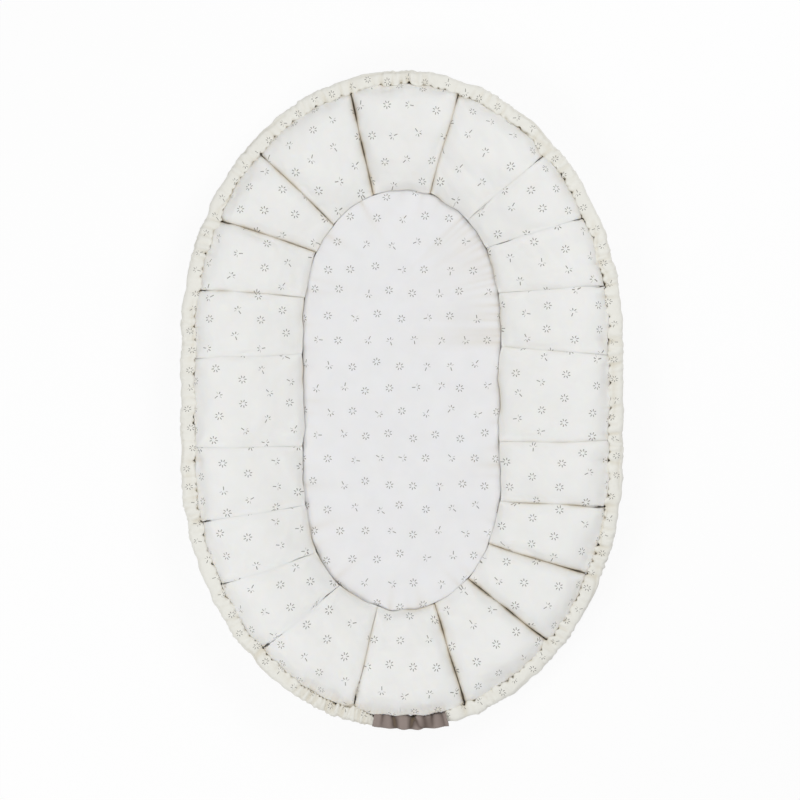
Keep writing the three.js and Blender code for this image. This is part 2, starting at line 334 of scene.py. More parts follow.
@dataclass(frozen=True)
class Print:
    """A scattered print of small dashed blossoms and sprouts in one grey ink. Lengths are in mm."""

    ink: str = "#918f89"
    pitch: float = 33.0
    stagger: float = 0.5  # Each row's shift, as a share of the pitch.
    scatter: float = 9.0
    sprouts: float = 0.5  # What share of the motifs are sprouts.
    petals: int = 7
    petal_start: float = 2.4
    petal_end: float = 5.4
    half_dash: float = 0.55
    forward_cosine: float = 0.25  # A sprout has only the dashes over this cosine.
    stem_start: float = 1.2
    stem_end: float = 6.0

    def draw(self, tree: NodeTree, u: NodeSocket, v: NodeSocket) -> NodeSocket:
        """Adds the nodes that draw the print.

        Args:
            tree: The material's nodes.
            u: The cloth's first coordinate, in mm.
            v: The cloth's second coordinate, in mm.

        Returns:
            The socket that is 1 where there is ink.
        """
        cell = add_node(tree, "CombineXYZ")
        chance = add_node(tree, "TexWhiteNoise", {0: cell.outputs[0]}, noise_dimensions="2D")
        parts = add_node(tree, "SeparateColor", {0: chance.outputs["Color"]})
        found = {
            "u": u, "v": v, "kind": chance.outputs["Value"],
            "side": parts.outputs[0], "lift": parts.outputs[1], "turn": parts.outputs[2],
        }
        for result, operation, *inputs in self._steps():
            sockets = {place: found.get(value, value) for place, value in enumerate(inputs)}
            found[result] = add_node(tree, "Math", sockets, operation=operation).outputs[0]
        for place, result in enumerate(("column", "row")):
            tree.links.new(found[result], cell.inputs[place])
        return found["ink"]

    def _steps(self) -> tuple[tuple[str | float, ...], ...]:
        """Writes out the print's formula.

        Returns:
            For each step its result's name, its operation and its inputs.
        """
        stray = self.scatter / self.pitch
        petal_turn = TURN / self.petals
        return (
            ("v_cells", "DIVIDE", "v", self.pitch),
            ("row", "FLOOR", "v_cells"),
            ("u_cells", "DIVIDE", "u", self.pitch),
            ("u_staggered", "MULTIPLY_ADD", "row", self.stagger, "u_cells"),
            ("column", "FLOOR", "u_staggered"),
            ("x_place", "SUBTRACT", "u_staggered", "column"),
            ("x_stray", "MULTIPLY_ADD", "side", -stray, "x_place"),
            ("x_middle", "SUBTRACT", "x_stray", (1 - stray) / 2),
            ("x", "MULTIPLY", "x_middle", self.pitch),
            ("y_place", "SUBTRACT", "v_cells", "row"),
            ("y_stray", "MULTIPLY_ADD", "lift", -stray, "y_place"),
            ("y_middle", "SUBTRACT", "y_stray", (1 - stray) / 2),
            ("y", "MULTIPLY", "y_middle", self.pitch),
            ("x_squared", "MULTIPLY", "x", "x"),
            ("squares", "MULTIPLY_ADD", "y", "y", "x_squared"),
            ("radius", "SQRT", "squares"),
            ("angle", "ARCTAN2", "y", "x"),
            ("bearing", "MULTIPLY_ADD", "turn", TURN, "angle"),
            ("petal", "DIVIDE", "bearing", petal_turn),
            ("petal_share", "FRACT", "petal"),
            ("petal_side", "SUBTRACT", "petal_share", 0.5),
            ("petal_angle", "MULTIPLY", "petal_side", petal_turn),
            ("petal_cosine", "COSINE", "petal_angle"),
            ("along", "MULTIPLY", "radius", "petal_cosine"),
            ("petal_sine", "SINE", "petal_angle"),
            ("off_line", "MULTIPLY", "radius", "petal_sine"),
            ("off", "ABSOLUTE", "off_line"),
            ("narrow", "LESS_THAN", "off", self.half_dash),
            ("past_start", "GREATER_THAN", "along", self.petal_start),
            ("before_end", "LESS_THAN", "along", self.petal_end),
            ("started", "MULTIPLY", "narrow", "past_start"),
            ("dash", "MULTIPLY", "started", "before_end"),
            ("forward", "COSINE", "bearing"),
            ("at_back", "LESS_THAN", "forward", self.forward_cosine),
            ("sprout", "GREATER_THAN", "kind", 1 - self.sprouts),
            ("left_out", "MULTIPLY", "at_back", "sprout"),
            ("kept", "SUBTRACT", 1.0, "left_out"),
            ("petal_ink", "MULTIPLY", "dash", "kept"),
            ("stem_along", "MULTIPLY", "radius", "forward"),
            ("sideways", "SINE", "bearing"),
            ("stem_off_line", "MULTIPLY", "radius", "sideways"),
            ("stem_off", "ABSOLUTE", "stem_off_line"),
            ("stem_narrow", "LESS_THAN", "stem_off", self.half_dash),
            ("stem_past", "LESS_THAN", "stem_along", -self.stem_start),
            ("stem_before", "GREATER_THAN", "stem_along", -self.stem_end),
            ("stem_started", "MULTIPLY", "stem_narrow", "stem_past"),
            ("stem_dash", "MULTIPLY", "stem_started", "stem_before"),
            ("stem_ink", "MULTIPLY", "stem_dash", "sprout"),
            ("ink", "MAXIMUM", "petal_ink", "stem_ink"),
        )


@dataclass(frozen=True)
class Cloth:
    """A woven cloth, seen by its colour, its threads, its soft sheen and its print, with shade painted
    into its creases.

    The real threads lie 0.2 to 0.6 mm apart, which is too fine to show, so they are drawn coarser.
    """

    name: str
    colour: str
    crease: str  # The painted shade colour down in its creases, where light reaches it only off more cloth.
    depth: str = "#6f604c"  # The painted shade colour at the bottom of the tightest folds.
    thread: float = 0.9  # Thread spacing as drawn, in mm.
    relief: float = 0.05  # How far the drawn threads stand up, in mm.
    sheen: float = 0.15  # How much the fuzz of the surface lightens it at grazing angles.
    sheen_roughness: float = 0.5
    roughness: float = 0.88
    specular: float = 0.25
    # How much of the light goes in and comes out beside.
    translucence: float = 0.0
    travel: float = 3.0  # How far that light comes, in mm. It softens and warms the creases.
    # What share of the red, green and blue light comes that far.
    travel_shares: tuple[float, float, float] = (1.0, 0.8, 0.55)
    twill: bool = False  # Whether the threads step sideways into diagonal ribs.
    cloud_scale: float = 0.03  # Broad clouds of unevenness in a mm.
    cloud_shades: Pair = (0.985, 1.01)  # How dark and how light they make the cloth.
    slack_scale: float = 0.12  # Fine waves of washed cloth in a mm.
    slack: float = 6.0  # How much higher than the threads those waves are.
    pattern: Print | None = None

    def build(self) -> Material:
        """Makes the material.

        Returns:
            The material.
        """
        material = bpy.data.materials.new(self.name)
        tree = empty_tree(material)
        uv = add_node(tree, "UVMap", uv_map="cloth")
        place = add_node(tree, "VectorMath", {0: uv.outputs[0], 3: 1 / MM}, operation="SCALE")
        split = add_node(tree, "SeparateXYZ", {0: place.outputs[0]})
        shader = add_node(tree, "BsdfPrincipled", {
            "Base Color": self._colour(tree, place.outputs[0], split),
            "Roughness": self.roughness,
            "Specular IOR Level": self.specular,
            "Sheen Weight": self.sheen,
            "Sheen Roughness": self.sheen_roughness,
            "Subsurface Weight": self.translucence,
            "Subsurface Radius": self.travel_shares,
            "Subsurface Scale": self.travel * MM,
            "Normal": self._weave(tree, place.outputs[0], split),
        })
        add_node(tree, "OutputMaterial", {0: shader.outputs[0]})
        return material

    def _colour(self, tree: NodeTree, place: NodeSocket, split: Node) -> NodeSocket:
        """Adds the nodes for the colour: uneven cloth, warm shade painted into the creases, and the print.

        Args:
            tree: The material's nodes.
            place: The cloth's coordinates in mm.
            split: The node that splits them.

        Returns:
            The colour's socket.
        """
        cloud = add_node(tree, "TexNoise", {
            "Vector": place, "Scale": self.cloud_scale, "Detail": 3.0,
        })
        shade = add_node(tree, "MapRange", {
            0: cloud.outputs[0], 1: 0.35, 2: 0.65, 3: self.cloud_shades[0], 4: self.cloud_shades[1],
        })
        uneven = add_node(tree, "VectorMath", {
            0: linear(self.colour)[:3], 3: shade.outputs[0],
        }, operation="SCALE")
        # How much painted shade each point gets, stored on the mesh.
        crease = add_node(tree, "Attribute", attribute_name="crease")
        colour = uneven.outputs[0]
        for low, high, tint in ((0.0, 0.5, self.crease), (0.5, 1.0, self.depth)):
            share = add_node(tree, "MapRange", {0: crease.outputs["Fac"], 1: low, 2: high})
            colour = add_node(tree, "Mix", {
                0: share.outputs[0], 6: colour, 7: linear(tint),
            }, data_type="RGBA").outputs[2]
        if self.pattern is None:
            return colour
        ink = self.pattern.draw(tree, split.outputs[0], split.outputs[1])
        return add_node(tree, "Mix", {
            0: ink, 6: colour, 7: linear(self.pattern.ink),
        }, data_type="RGBA").outputs[2]

    def _weave(self, tree: NodeTree, place: NodeSocket, split: Node) -> NodeSocket:
        """Adds the nodes for the threads and the fine, slack unevenness of washed cloth.

        Args:
            tree: The material's nodes.
            place: The cloth's coordinates in mm.
            split: The node that splits them.

        Returns:
            The bumped normal's socket.
        """
        u, v = split.outputs[0], split.outputs[1]
        if self.twill:
            v = add_node(tree, "Math", {0: u, 1: v}, operation="ADD").outputs[0]
        threads = []
        for across in (u, v):
            angle = add_node(tree, "Math", {0: across, 1: TURN / self.thread}, operation="MULTIPLY")
            sine = add_node(tree, "Math", {0: angle.outputs[0]}, operation="SINE")
            threads.append(sine.outputs[0])
        cross = add_node(tree, "Math", dict(enumerate(threads)), operation="MULTIPLY")
        slack = add_node(tree, "TexNoise", {
            "Vector": place, "Scale": self.slack_scale, "Detail": 4.0,
        })
        height = add_node(tree, "Math", {
            0: slack.outputs[0], 1: self.slack, 2: cross.outputs[0],
        }, operation="MULTIPLY_ADD")
        bump = add_node(tree, "Bump", {
            "Strength": 1.0, "Distance": self.relief * MM, "Height": height.outputs[0],
        })
        return bump.outputs[0]


@dataclass(frozen=True)
class Oval:
    """An oval with straight sides and elliptical ends."""

    width: float
    length: float
    straight: float

    def line(self, count: int = 2400) -> tuple[ndarray, ndarray]:
        """Samples the oval clockwise, seen from above, from the middle of the head.

        Args:
            count: How many points are taken on each quarter and each straight side.

        Returns:
            The points, and how far round each lies.
        """
        side, end, half = self.width / 2, (self.length - self.straight) / 2, self.straight / 2
        rise = np.linspace(math.pi / 2, 0, count)
        fall = np.linspace(0, -math.pi / 2, count)
        right = np.concatenate([
            np.column_stack([side * np.cos(rise), half + end * np.sin(rise)]),
            np.column_stack([side * np.cos(fall), -half + end * np.sin(fall)])[0 if half else 1:],
        ])
        left = (right * (-1, 1))[::-1][1:]
        points = np.concatenate([right, left])
        steps = np.linalg.norm(np.diff(points, axis=0), axis=1)
        return points, np.concatenate([[0], np.cumsum(steps)])

    def around(self) -> float:
        """Gives the oval's whole length round."""
        return float(self.line()[1][-1])

    def at(self, distances: ndarray) -> tuple[ndarray, ndarray]:
        """Finds places on the oval by their distance round it.

        Args:
            distances: Distances from the head, clockwise, which may run past the start.

        Returns:
            The places, and the way outwards at each.
        """
        points, along = self.line()
        total = along[-1]
        place = np.column_stack([np.interp(distances % total, along, points[:, i]) for i in (0, 1)])
        ahead = np.column_stack([
            np.interp((distances + MM) % total, along, points[:, i]) for i in (0, 1)
        ])
        way = ahead - place
        way /= np.linalg.norm(way, axis=1)[:, None]
        return place, np.column_stack([-way[:, 1], way[:, 0]])

    def outset(self, points: ndarray) -> tuple[ndarray, ndarray, ndarray]:
        """Measures how far outside the oval points lie, seen from above.

        Args:
            points: Rows whose first two numbers are x and y.

        Returns:
            The distance past the oval, negative inside it, the way outwards, and how far round.
        """
        side, end, half = self.width / 2, (self.length - self.straight) / 2, self.straight / 2
        x, y = np.abs(points[:, 0]), np.abs(points[:, 1]) - half
        up = np.maximum(y, 0)
        across, rise = np.full(len(x), math.sqrt(0.5)), np.full(len(x), math.sqrt(0.5))
        for _ in range(5):
            centre_x = (side ** 2 - end ** 2) / side * across ** 3
            centre_y = (end ** 2 - side ** 2) / end * rise ** 3
            curve = np.hypot(side * across - centre_x, end * rise - centre_y)
            stretch = curve / np.maximum(np.hypot(x - centre_x, up - centre_y), TINY)
            across = np.clip(((x - centre_x) * stretch + centre_x) / side, 0, 1)
            rise = np.clip(((up - centre_y) * stretch + centre_y) / end, 0, 1)
            size = np.maximum(np.hypot(across, rise), TINY)
            across, rise = across / size, rise / size
        straight = y <= 0
        across, rise = np.where(straight, 1.0, across), np.where(straight, 0.0, rise)
        way = np.column_stack([across / side, rise / end])
        way /= np.linalg.norm(way, axis=1)[:, None]
        past = (x - side * across) * way[:, 0] + (up - end * rise) * way[:, 1]
        line, along = self.line()
        quarter = len(line) // 4
        turn = np.arctan2(line[:quarter, 1] / end - half / end, line[:quarter, 0] / side)
        from_end = np.interp(-np.arctan2(rise, across), -turn, along[:quarter]) + np.maximum(-y, 0)
        around = np.where(points[:, 1] < 0, along[-1] / 2 - from_end, from_end)
        around = np.where(points[:, 0] < 0, along[-1] - around, around)
        facing = np.where(points[:, :2] < 0, -1, 1)
        return past, way * facing, around


# The pads' nodes, clockwise from the middle of the head end.
WALL_NODES = tuple(f"wall_pad_{number:02d}" for number in range(1, 21))
# The oval edge between the mattress and the pads, how it strays and where more shade is painted beside it.
WELL = Oval(270 * MM, 578 * MM, 236 * MM)
WELL_WAVES = (Wave(95 * MM, 1.6 * MM, 57), Wave(34 * MM, 0.9 * MM, 58))
WELL_SHADE = Wave(110 * MM, 1.0, 61)


def well_edge(points: ndarray) -> tuple[ndarray, ndarray]:
    """Works out how the edge between the mattress and the pads strays, and how much shade is painted
    beside it.

    Args:
        points: Points beside it.

    Returns:
        How far outwards it strays beside each, and how much shade is painted there, from 0 to 1.
    """
    past, way, _ = WELL.outset(points)
    places = points[:, :2] - past[:, None] * way
    stray = sum(wave.at(places) for wave in WELL_WAVES)
    return stray, smooth_step(WELL_SHADE.at(places), -0.2, 0.7)


def between(ends: Pair, share: float | ndarray) -> float | ndarray:
    """Runs from the first number at a share of 0 to the second at a share of 1."""
    return ends[0] + (ends[1] - ends[0]) * share


def middle_line(points: ndarray, share: ndarray) -> ndarray:
    """Gives the height of a pad's middle line, which rises with the share of the way to the rim."""
    return points[:, 2].max() * between((0.2, 0.75), share)


def squared_off(values: ndarray, power: float | ndarray) -> ndarray:
    """Falls from 1 at a value of 0 to 0 at a value of 1, as a circle does at a power of 2."""
    return (1 - values ** power) ** (1 / power)


@dataclass(frozen=True)
class Inflation:
    """How a piece is blown up by a short cloth simulation."""

    voxel: float
    inset: float  # How much smaller the piece starts.
    pressure: float
    growth: float  # By what share the cloth is cut larger.
    cap: float  # How far any point may move.
    frames: int = 20
    quality: int = 4
    mass: float = 0.2
    flush: float = 0.2 * MM  # How near a seam's plane an edge lies in it.

    def prepare(self, piece: Object, planes: tuple["SeamPlane", ...] = ()) -> None:
        """Rounds a solid's facets, draws it in and gives it an even mesh.

        Args:
            piece: A merged copy of a CAD solid.
            planes: Planes whose faces keep their outline.
        """
        points = coordinates(piece)
        ends = read(piece.data.edges, "vertices", 2)
        sharp = np.zeros(len(ends), np.float32)
        for plane in planes:
            sharp[(np.abs(plane.past(points)) < self.flush)[ends].all(1)] = 1
        piece.data.attributes.new("crease_edge", "FLOAT", "EDGE").data.foreach_set("value", sharp)
        finish_modifier(piece, "SUBSURF", levels=2, render_levels=2)
        place_vertices(piece, coordinates(piece) - normals(piece) * self.inset)
        finish_modifier(piece, "REMESH", mode="VOXEL", voxel_size=self.voxel)
        finish_modifier(piece, "SMOOTH", factor=0.5, iterations=3)

    def run(self, pieces: list[Object]) -> None:
        """Blows up several pieces at once, and applies the result to their meshes.

        Args:
            pieces: Closed cloth pieces that were prepared.
        """
        rest = [coordinates(piece) for piece in pieces]
        for piece in pieces:
            cloth = piece.modifiers.new("cloth", "CLOTH")
            cloth.settings.quality = self.quality
            cloth.settings.mass = self.mass
            cloth.settings.use_pressure = True
            cloth.settings.uniform_pressure_force = self.pressure
            cloth.settings.shrink_min = -self.growth
            cloth.settings.effector_weights.gravity = 0
            cloth.collision_settings.use_collision = False
        for number in range(1, self.frames + 1):
            bpy.context.scene.frame_set(number)
        for piece in pieces:
            activate(piece)
            bpy.ops.object.modifier_apply(modifier="cloth")
        bpy.context.scene.frame_set(1)
        for piece, start in zip(pieces, rest):
            moved = coordinates(piece) - start
            reach = np.linalg.norm(moved, axis=1)
            share = np.minimum(1, self.cap / np.maximum(reach, TINY))
            place_vertices(piece, start + moved * share[:, None])


@dataclass(frozen=True)
class SeamPlane:
    """The upright plane where two pads press on each other."""

    point: ndarray
    normal: ndarray

    def past(self, points: ndarray) -> ndarray:
        """Measures how far past the plane points lie, negative on the pad's side."""
        return (points - self.point) @ self.normal

    def outwards(self) -> ndarray:
        """Gives the level direction along the seam from the well to the rim."""
        way = np.cross(self.normal, UP)
        return way if way @ self.point > 0 else -way


def seam_planes(
    node: str, beyond: float = 0.3 * MM, upright: float = 0.002, alike: float = 0.9995
) -> tuple[SeamPlane, SeamPlane]:
    """Finds the two upright planes in which a pad is sewn to its neighbours.

    Args:
        node: The pad's CAD node.
        beyond: How far past the solid's flat faces they are, as the solids stand 0.5 mm apart.
        upright: How far an upright face's normal may point up or down.
        alike: From what cosine on two faces belong to one plane.

    Returns:
        The two planes, in their order clockwise round the ring.
    """
    clusters: list[dict] = []
    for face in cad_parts[node].data.polygons:
        if abs(face.normal.z) > upright:
            continue
        for cluster in clusters:
            if cluster["normal"].dot(face.normal) > alike:
                cluster["area"] += face.area
                break
        else:
            clusters.append({
                "normal": face.normal.copy(), "area": face.area, "point": face.center.copy(),
            })
    largest = sorted(clusters, key=lambda cluster: cluster["area"])[-2:]
    planes = [
        SeamPlane(np.array(c["point"] + beyond * c["normal"]), np.array(c["normal"])) for c in largest
    ]
    clockwise = np.cross(planes[0].point + planes[1].point, UP)
    return tuple(sorted(planes, key=lambda plane: float(plane.normal @ clockwise)))


@dataclass(frozen=True)
class Gathers:
    """Folds that spread from a seam which an elastic draws together."""

    places: ndarray
    depths: ndarray
    widths: ndarray
    reaches: ndarray  # How far round a tube each runs, in radians.
    leans: ndarray  # How far along it each drifts for each radian.
    widening: float = 0.3  # How much wider a fold gets for each radian.
    power: float = 1.3  # How round the bottom of a fold is.
    span: float = 6.0  # How many of its widths away a fold has ended.

    def shifted(self, start: float, total: float) -> "Gathers":
        """Counts the folds' places from another point on a closed seam."""
        return Gathers((self.places - start) % total, self.depths, self.widths, self.reaches, self.leans)

    def round_tube(self, along: ndarray, angle: ndarray, seam: float) -> ndarray:
        """Works out how far the folds draw a tube's cloth in.

        Args:
            along: Distances along the tube.
            angle: Angles round its section.
            seam: The seam's angle.

        Returns:
            One number for each station and side, in metres, 0 or less.
        """
        turn = np.abs(angle - seam)
        turn = np.minimum(turn, TURN - turn)[None]
        total = np.zeros((len(along), len(angle)))
        for place, deep, wide, far, lean in zip(
            self.places, self.depths, self.widths, self.reaches, self.leans
        ):
            near = np.abs(along - place) < self.span * wide + abs(lean) * math.pi
            off = np.abs(along[near, None] - place + lean * turn) / (wide * (1 + self.widening * turn))
            total[near] -= deep * np.exp(-off ** self.power - (turn / far) ** 2)
        return total

    def over_pad(self, around: ndarray, inwards: ndarray, reach: float) -> ndarray:
        """Works out how far the folds press in the cloth beside the seam.

        Args:
            around: How far along the seam each point lies.
            inwards: How far away from the seam it lies.
            reach: How far from the seam an ordinary fold runs.

        Returns:
            One number for each point, in metres, 0 or less.
        """
        total = np.zeros(len(around))
        for place, deep, wide, far in zip(self.places, self.depths, self.widths, self.reaches):
            near = np.flatnonzero(np.abs(around - place) < self.span * wide)
            off = np.abs(around[near] - place) / (wide * (1 + inwards[near] / reach))
            total[near] -= deep * np.exp(-off ** self.power - inwards[near] / (reach * far))
        return total


@dataclass(frozen=True)
class Gathering:
    """How folds are drawn at random along a seam."""

    spacing: Pair
    depth: float
    dense: Pair  # Where the cloth is drawn together most.
    seed: int
    shares: Pair = (0.15, 1.0)  # What share of the depth a fold has.
    knot_shares: Pair = (0.9, 1.5)  # The same at a knot.
    dense_share: float = 0.75  # The least share in the dense stretch.
    crowding: float = 0.45  # What share of the spacing is left there.
    narrowing: float = 0.75  # What share of its width a fold has there.
    widths: Pair = (1.2, 2.8)  # In mm.
    reaches: Pair = (0.4, 1.5)  # A fold's least reach, and how much further it may run.
    dense_reaches: Pair = (1.8, 2.8)
    lean: float = 3.0  # At most, in mm for each radian.

    def draw(self, length: float, knots: ndarray) -> Gathers:
        """Draws the folds along a seam, and one at each knot.

        Args:
            length: The seam's length.
            knots: Places where another seam ties the cloth down harder.

        Returns:
            The folds.
        """
        draw = np.random.default_rng(self.seed)
        places = [0.0]
        while places[-1] < length:
            tight = self.crowding if self.dense[0] < places[-1] < self.dense[1] else 1.0
            places.append(places[-1] + tight * draw.uniform(*self.spacing))
        loose = np.array(places)
        clear = np.abs(loose[:, None] - knots[None]).min(1) > self.spacing[0] / 2
        places = np.concatenate([loose[clear], knots])
        count = len(places)
        knotted = np.arange(count) >= clear.sum()
        crowded = (places > self.dense[0]) & (places < self.dense[1])
        shares = np.where(
            knotted, draw.uniform(*self.knot_shares, count), draw.uniform(*self.shares, count)
        )
        shares = np.where(crowded, np.maximum(shares, self.dense_share), shares)
        reaches = self.reaches[0] + self.reaches[1] * draw.uniform(0, 1, count) ** 2
        return Gathers(
            places,
            self.depth * shares,
            draw.uniform(*self.widths, count) * np.where(crowded, self.narrowing, 1.0) * MM,
            np.where(crowded, draw.uniform(*self.dense_reaches, count), reaches),
            draw.uniform(-self.lean, self.lean, count) * MM,
        )


@dataclass(frozen=True)
class RimEdge:
    """The edge between the pads and the casing, and how it strays from its oval."""

    rim: Oval
    seams: ndarray
    gathers: Gathers
    foot: float  # Where the middle of the sleeve is.
    wander: Wave = Wave(42 * MM, 1.0 * MM, 59)
    lobe: float = 6.0 * MM
    # What share of the lobe there is at each seam.
    lobe_shares: tuple[float, ...] = (
        0.7, 0.4, 1.0, 0.9, 0.5, 0.6, 0.4, 0.5, 0.5, 1.0,
        0.3, 0.8, 0.6, 0.5, 0.4, 0.5, 0.4, 0.9, 0.95, 0.6,
    )
    lobe_reach: float = 8 * MM
    cusp: float = 2.6 * MM  # How far the pads poke out into a gather at most.
    cusp_depth: float = 3 * MM  # How deep a gather with the largest cusp is.
    cusp_reach: float = 2.6 * MM

    def broad(self, around: ndarray) -> ndarray:
        """Gives the edge's wandering and its lobes, as distances outwards.

        Args:
            around: Distances round the oval.

        Returns:
            One distance for each.
        """
        total = self.rim.around()
        apart = np.abs(around[:, None] - self.seams[None])
        apart = np.minimum(apart, total - apart)
        strength = np.array(self.lobe_shares) * self.lobe
        lobes = (strength[None] * fade(apart, self.lobe_reach, 1.2)).max(1)
        turn = around / total * TURN
        circle = np.column_stack([np.cos(turn), np.sin(turn)]) * total / TURN
        return self.wander.at(circle) - lobes + self.wander.height / 2

    def cusps(self, around: ndarray) -> ndarray:
        """Gives the small cusps at the gathers, as distances outwards.

        Args:
            around: Distances round the oval.

        Returns:
            One distance for each.
        """
        fine = np.arange(0, self.rim.around(), 0.5 * MM)
        total = np.zeros(len(fine))
        for place, deep in zip(self.gathers.places, self.gathers.depths):
            near = np.abs(fine - place) < 5 * self.cusp_reach
            size = self.cusp * min(1.0, deep / self.cusp_depth)
            cusp = size * fade(np.abs(fine[near] - place), self.cusp_reach, self.gathers.power)
            total[near] = np.maximum(total[near], cusp)
        return np.interp(around, fine, total - self.cusp / 3)


@dataclass(frozen=True)
class Seam:
    """One of a pad's two seams, as it is sewn."""

    plane: SeamPlane
    places: ndarray
    heights: ndarray  # The height at which the two pads meet at each.
    tight: float
    number: int  # Its place in the ring, from 0.
    puckers: int  # Which draw of puckers the pad has along it.
    side: int  # 1 for the pad's second seam, -1 for its first.


@dataclass
class PadSurface:
    """A pressed pad's points while it is sewn."""

    points: ndarray  # Where they were before.
    out: ndarray  # The cloth's way out at each.
    inner: ndarray
    outer: ndarray  # How far each is from the pads' outline.
    from_well: ndarray  # The level way from the well at each.
    from_rim: ndarray
    around: ndarray
    upper: ndarray  # 0 under the section's middle line, rising to 1 over its top.
    topside: ndarray  # 1 where the cloth faces up.
    moved: ndarray  # Where they are now.
    # How much shade is painted on each, from 0 to 1.
    crease: ndarray
    cornered: ndarray  # How near a seam each is, from 0 to 1.
    open_side: ndarray  # How far each is from the nearest seam or edge.


@dataclass(frozen=True)
class Sewing:
    """How the pads' cloth is drawn down at their seams, at the rim and beside the mattress."""

    # How tightly each seam is drawn down, clockwise from the head's left one.
    tight_shares: tuple[float, ...] = (
        1.0, 0.5, 0.1, 0.05, 0.12, 0.16, 0.2, 0.4, 0.75, 1.0,
        1.0, 0.4, 0.02, 0.02, 0.05, 0.1, 0.08, 0.28, 0.68, 0.66,
    )
    facing_up: float = 0.35  # From what upward share of its normal on the cloth counts as the top.
    upper_rise: float = 18 * MM  # How far over the middle line the top begins.
    rim_shoulder: float = 6 * MM  # How far in from the rim the pads come down to the casing's height.
    rim_groove: float = 4.5 * MM
    rim_groove_reach: float = 1.5 * MM
    groove_breaks: Wave = Wave(30 * MM, 0.5, 62)
    brow: float = 8 * MM  # How far the pads' upper edge comes down beside the mattress.
    brow_reach: float = 4 * MM
    brow_heights: Pair = (42 * MM, 58 * MM)  # The heights from and over which it does.
    leaning: float = 3 * MM  # How far from the mattress's side the pads are pressed on it.
    leaning_rise: Pair = (20 * MM, 30 * MM)  # The heights between which that begins.
    leaning_fall: Pair = (46 * MM, 54 * MM)
    closed: float = 2.2 * MM  # How far in from a seam a pad is pressed out to it.
    closed_more: Pair = (3.0, 1.5)  # How much further at the seam's rim end and at its well end.
    end_reaches: Pair = (14 * MM, 12 * MM)  # How far those ends reach along the seam.
    shoulder: float = 7 * MM  # How far in from a seam the pads are brought to one height.
    held: float = 4 * MM  # How near a seam or the rim they can't stand over that height.
    filled: float = 8 * MM  # How far down beside a seam the filling presses the pads together.
    groove: float = 13.0 * MM
    # How wide the loosest and the tightest seam's groove is.
    groove_reaches: Pair = (1.32 * MM, 3.96 * MM)
    patches: Wave = Wave(50 * MM, 0.25, 760)
    # How deep the broad dip over the loosest and the tightest seam is.
    valleys: Pair = (1.1 * MM, 5.5 * MM)
    valley_reach: float = 13 * MM
    valley_ends: Pair = (14 * MM, 20 * MM)  # How far from the rim and the well it has its whole depth.
    # How deep the short puckers along the loosest and the tightest seam are.
    puckers: Pair = (0.21 * MM, 0.77 * MM)
    pucker_spacing: float = 11 * MM
    pucker_reach: float = 9 * MM
    pucker_drift: Wave = Wave(60 * MM, 0.6, 0)  # How unevenly they are spaced, in radians.
    stray: Wave = Wave(120 * MM, 0.6 * MM, 700)
    stray_reach: float = 35 * MM
    # How far from a seam its painted shade reaches.
    crease_reach: float = 1.8 * MM
    notch: float = 1.2 * MM  # How far the pads' inner corners draw back from the well.
    notch_reach: float = 6 * MM
    notch_depth: float = 10 * MM
    lobe_depth: float = 22 * MM  # How far from the rim its broad wandering moves the pads.
    cusp_depth: float = 3 * MM  # How far from the rim its cusps do.
    gather_reach: float = 8 * MM
    swells: tuple[Wave, Wave] = (Wave(55 * MM, 1.3 * MM, 500), Wave(18 * MM, 0.3 * MM, 520))
    swell_clear: float = 5 * MM
    well_depth: float = 30 * MM  # How far the straying of the well's edge moves the pads.
    # The shade beside the mattress all round, and more of it in the dark stretches.
    well_shades: Pair = (0.12, 0.5)
    well_shade_reaches: Pair = (6 * MM, 3.5 * MM)
    well_shade_height: float = 46 * MM
    well_shade_rise: float = 7 * MM
    knot_shade: float = 0.6  # How much shade is painted into a gather's fold.
    knot_depth: float = 2.5 * MM
    knot_reach: float = 4 * MM
    # Painted shade along the groove at the rim: how much, how much it varies round the rim, and how far in
    # it reaches.
    rim_shade: float = 0.45
    rim_shade_waves: Wave = Wave(45 * MM, 0.3, 63)
    rim_shade_reach: float = 1.8 * MM

    def tightness(self, seam: int) -> float:
        """Gives how tightly a seam is drawn down."""
        return self.tight_shares[seam % len(self.tight_shares)]

    def sew(
        self, piece: Object, seams: tuple[Seam, Seam], number: int, wall: Oval, edge: RimEdge
    ) -> None:
        """Draws a pad down along its seams, puckers it there and at the rim, and paints shade into its
        creases.

        Args:
            piece: The pad, pressed into its place.
            seams: Its two seams.
            number: Its place in the ring, from 0.
            wall: The pads' outline.
            edge: Where the pads and the casing meet.
        """
        pad = self._measure(piece, wall, edge)
        self._meet_edges(pad)
        for seam in seams:
            self._draw_down(pad, seam)
        folds = self._wander(pad, number, edge)
        place_vertices(piece, pad.moved)
        # Painted shade: beside the mattress, in a band at its height; along the groove at the rim; and in
        # the gathers there.
        shades = (self.well_shades[0], self.well_shades[1] * well_edge(pad.points)[1])
        shaded = sum(
            shade * fade(pad.inner, reach) for shade, reach in zip(shades, self.well_shade_reaches)
        ) * fade(np.abs(pad.moved[:, 2] - self.well_shade_height), self.well_shade_rise)
        knotted = np.clip(-folds / self.knot_depth, 0, 1) * fade(pad.outer, self.knot_reach)
        rim = (self.rim_shade + self.rim_shade_waves.at(pad.around)) * fade(pad.outer, self.rim_shade_reach)
        gathered = rim * pad.upper + self.knot_shade * knotted
        paint_crease_shade(piece, np.maximum.reduce([pad.crease, shaded, gathered]))

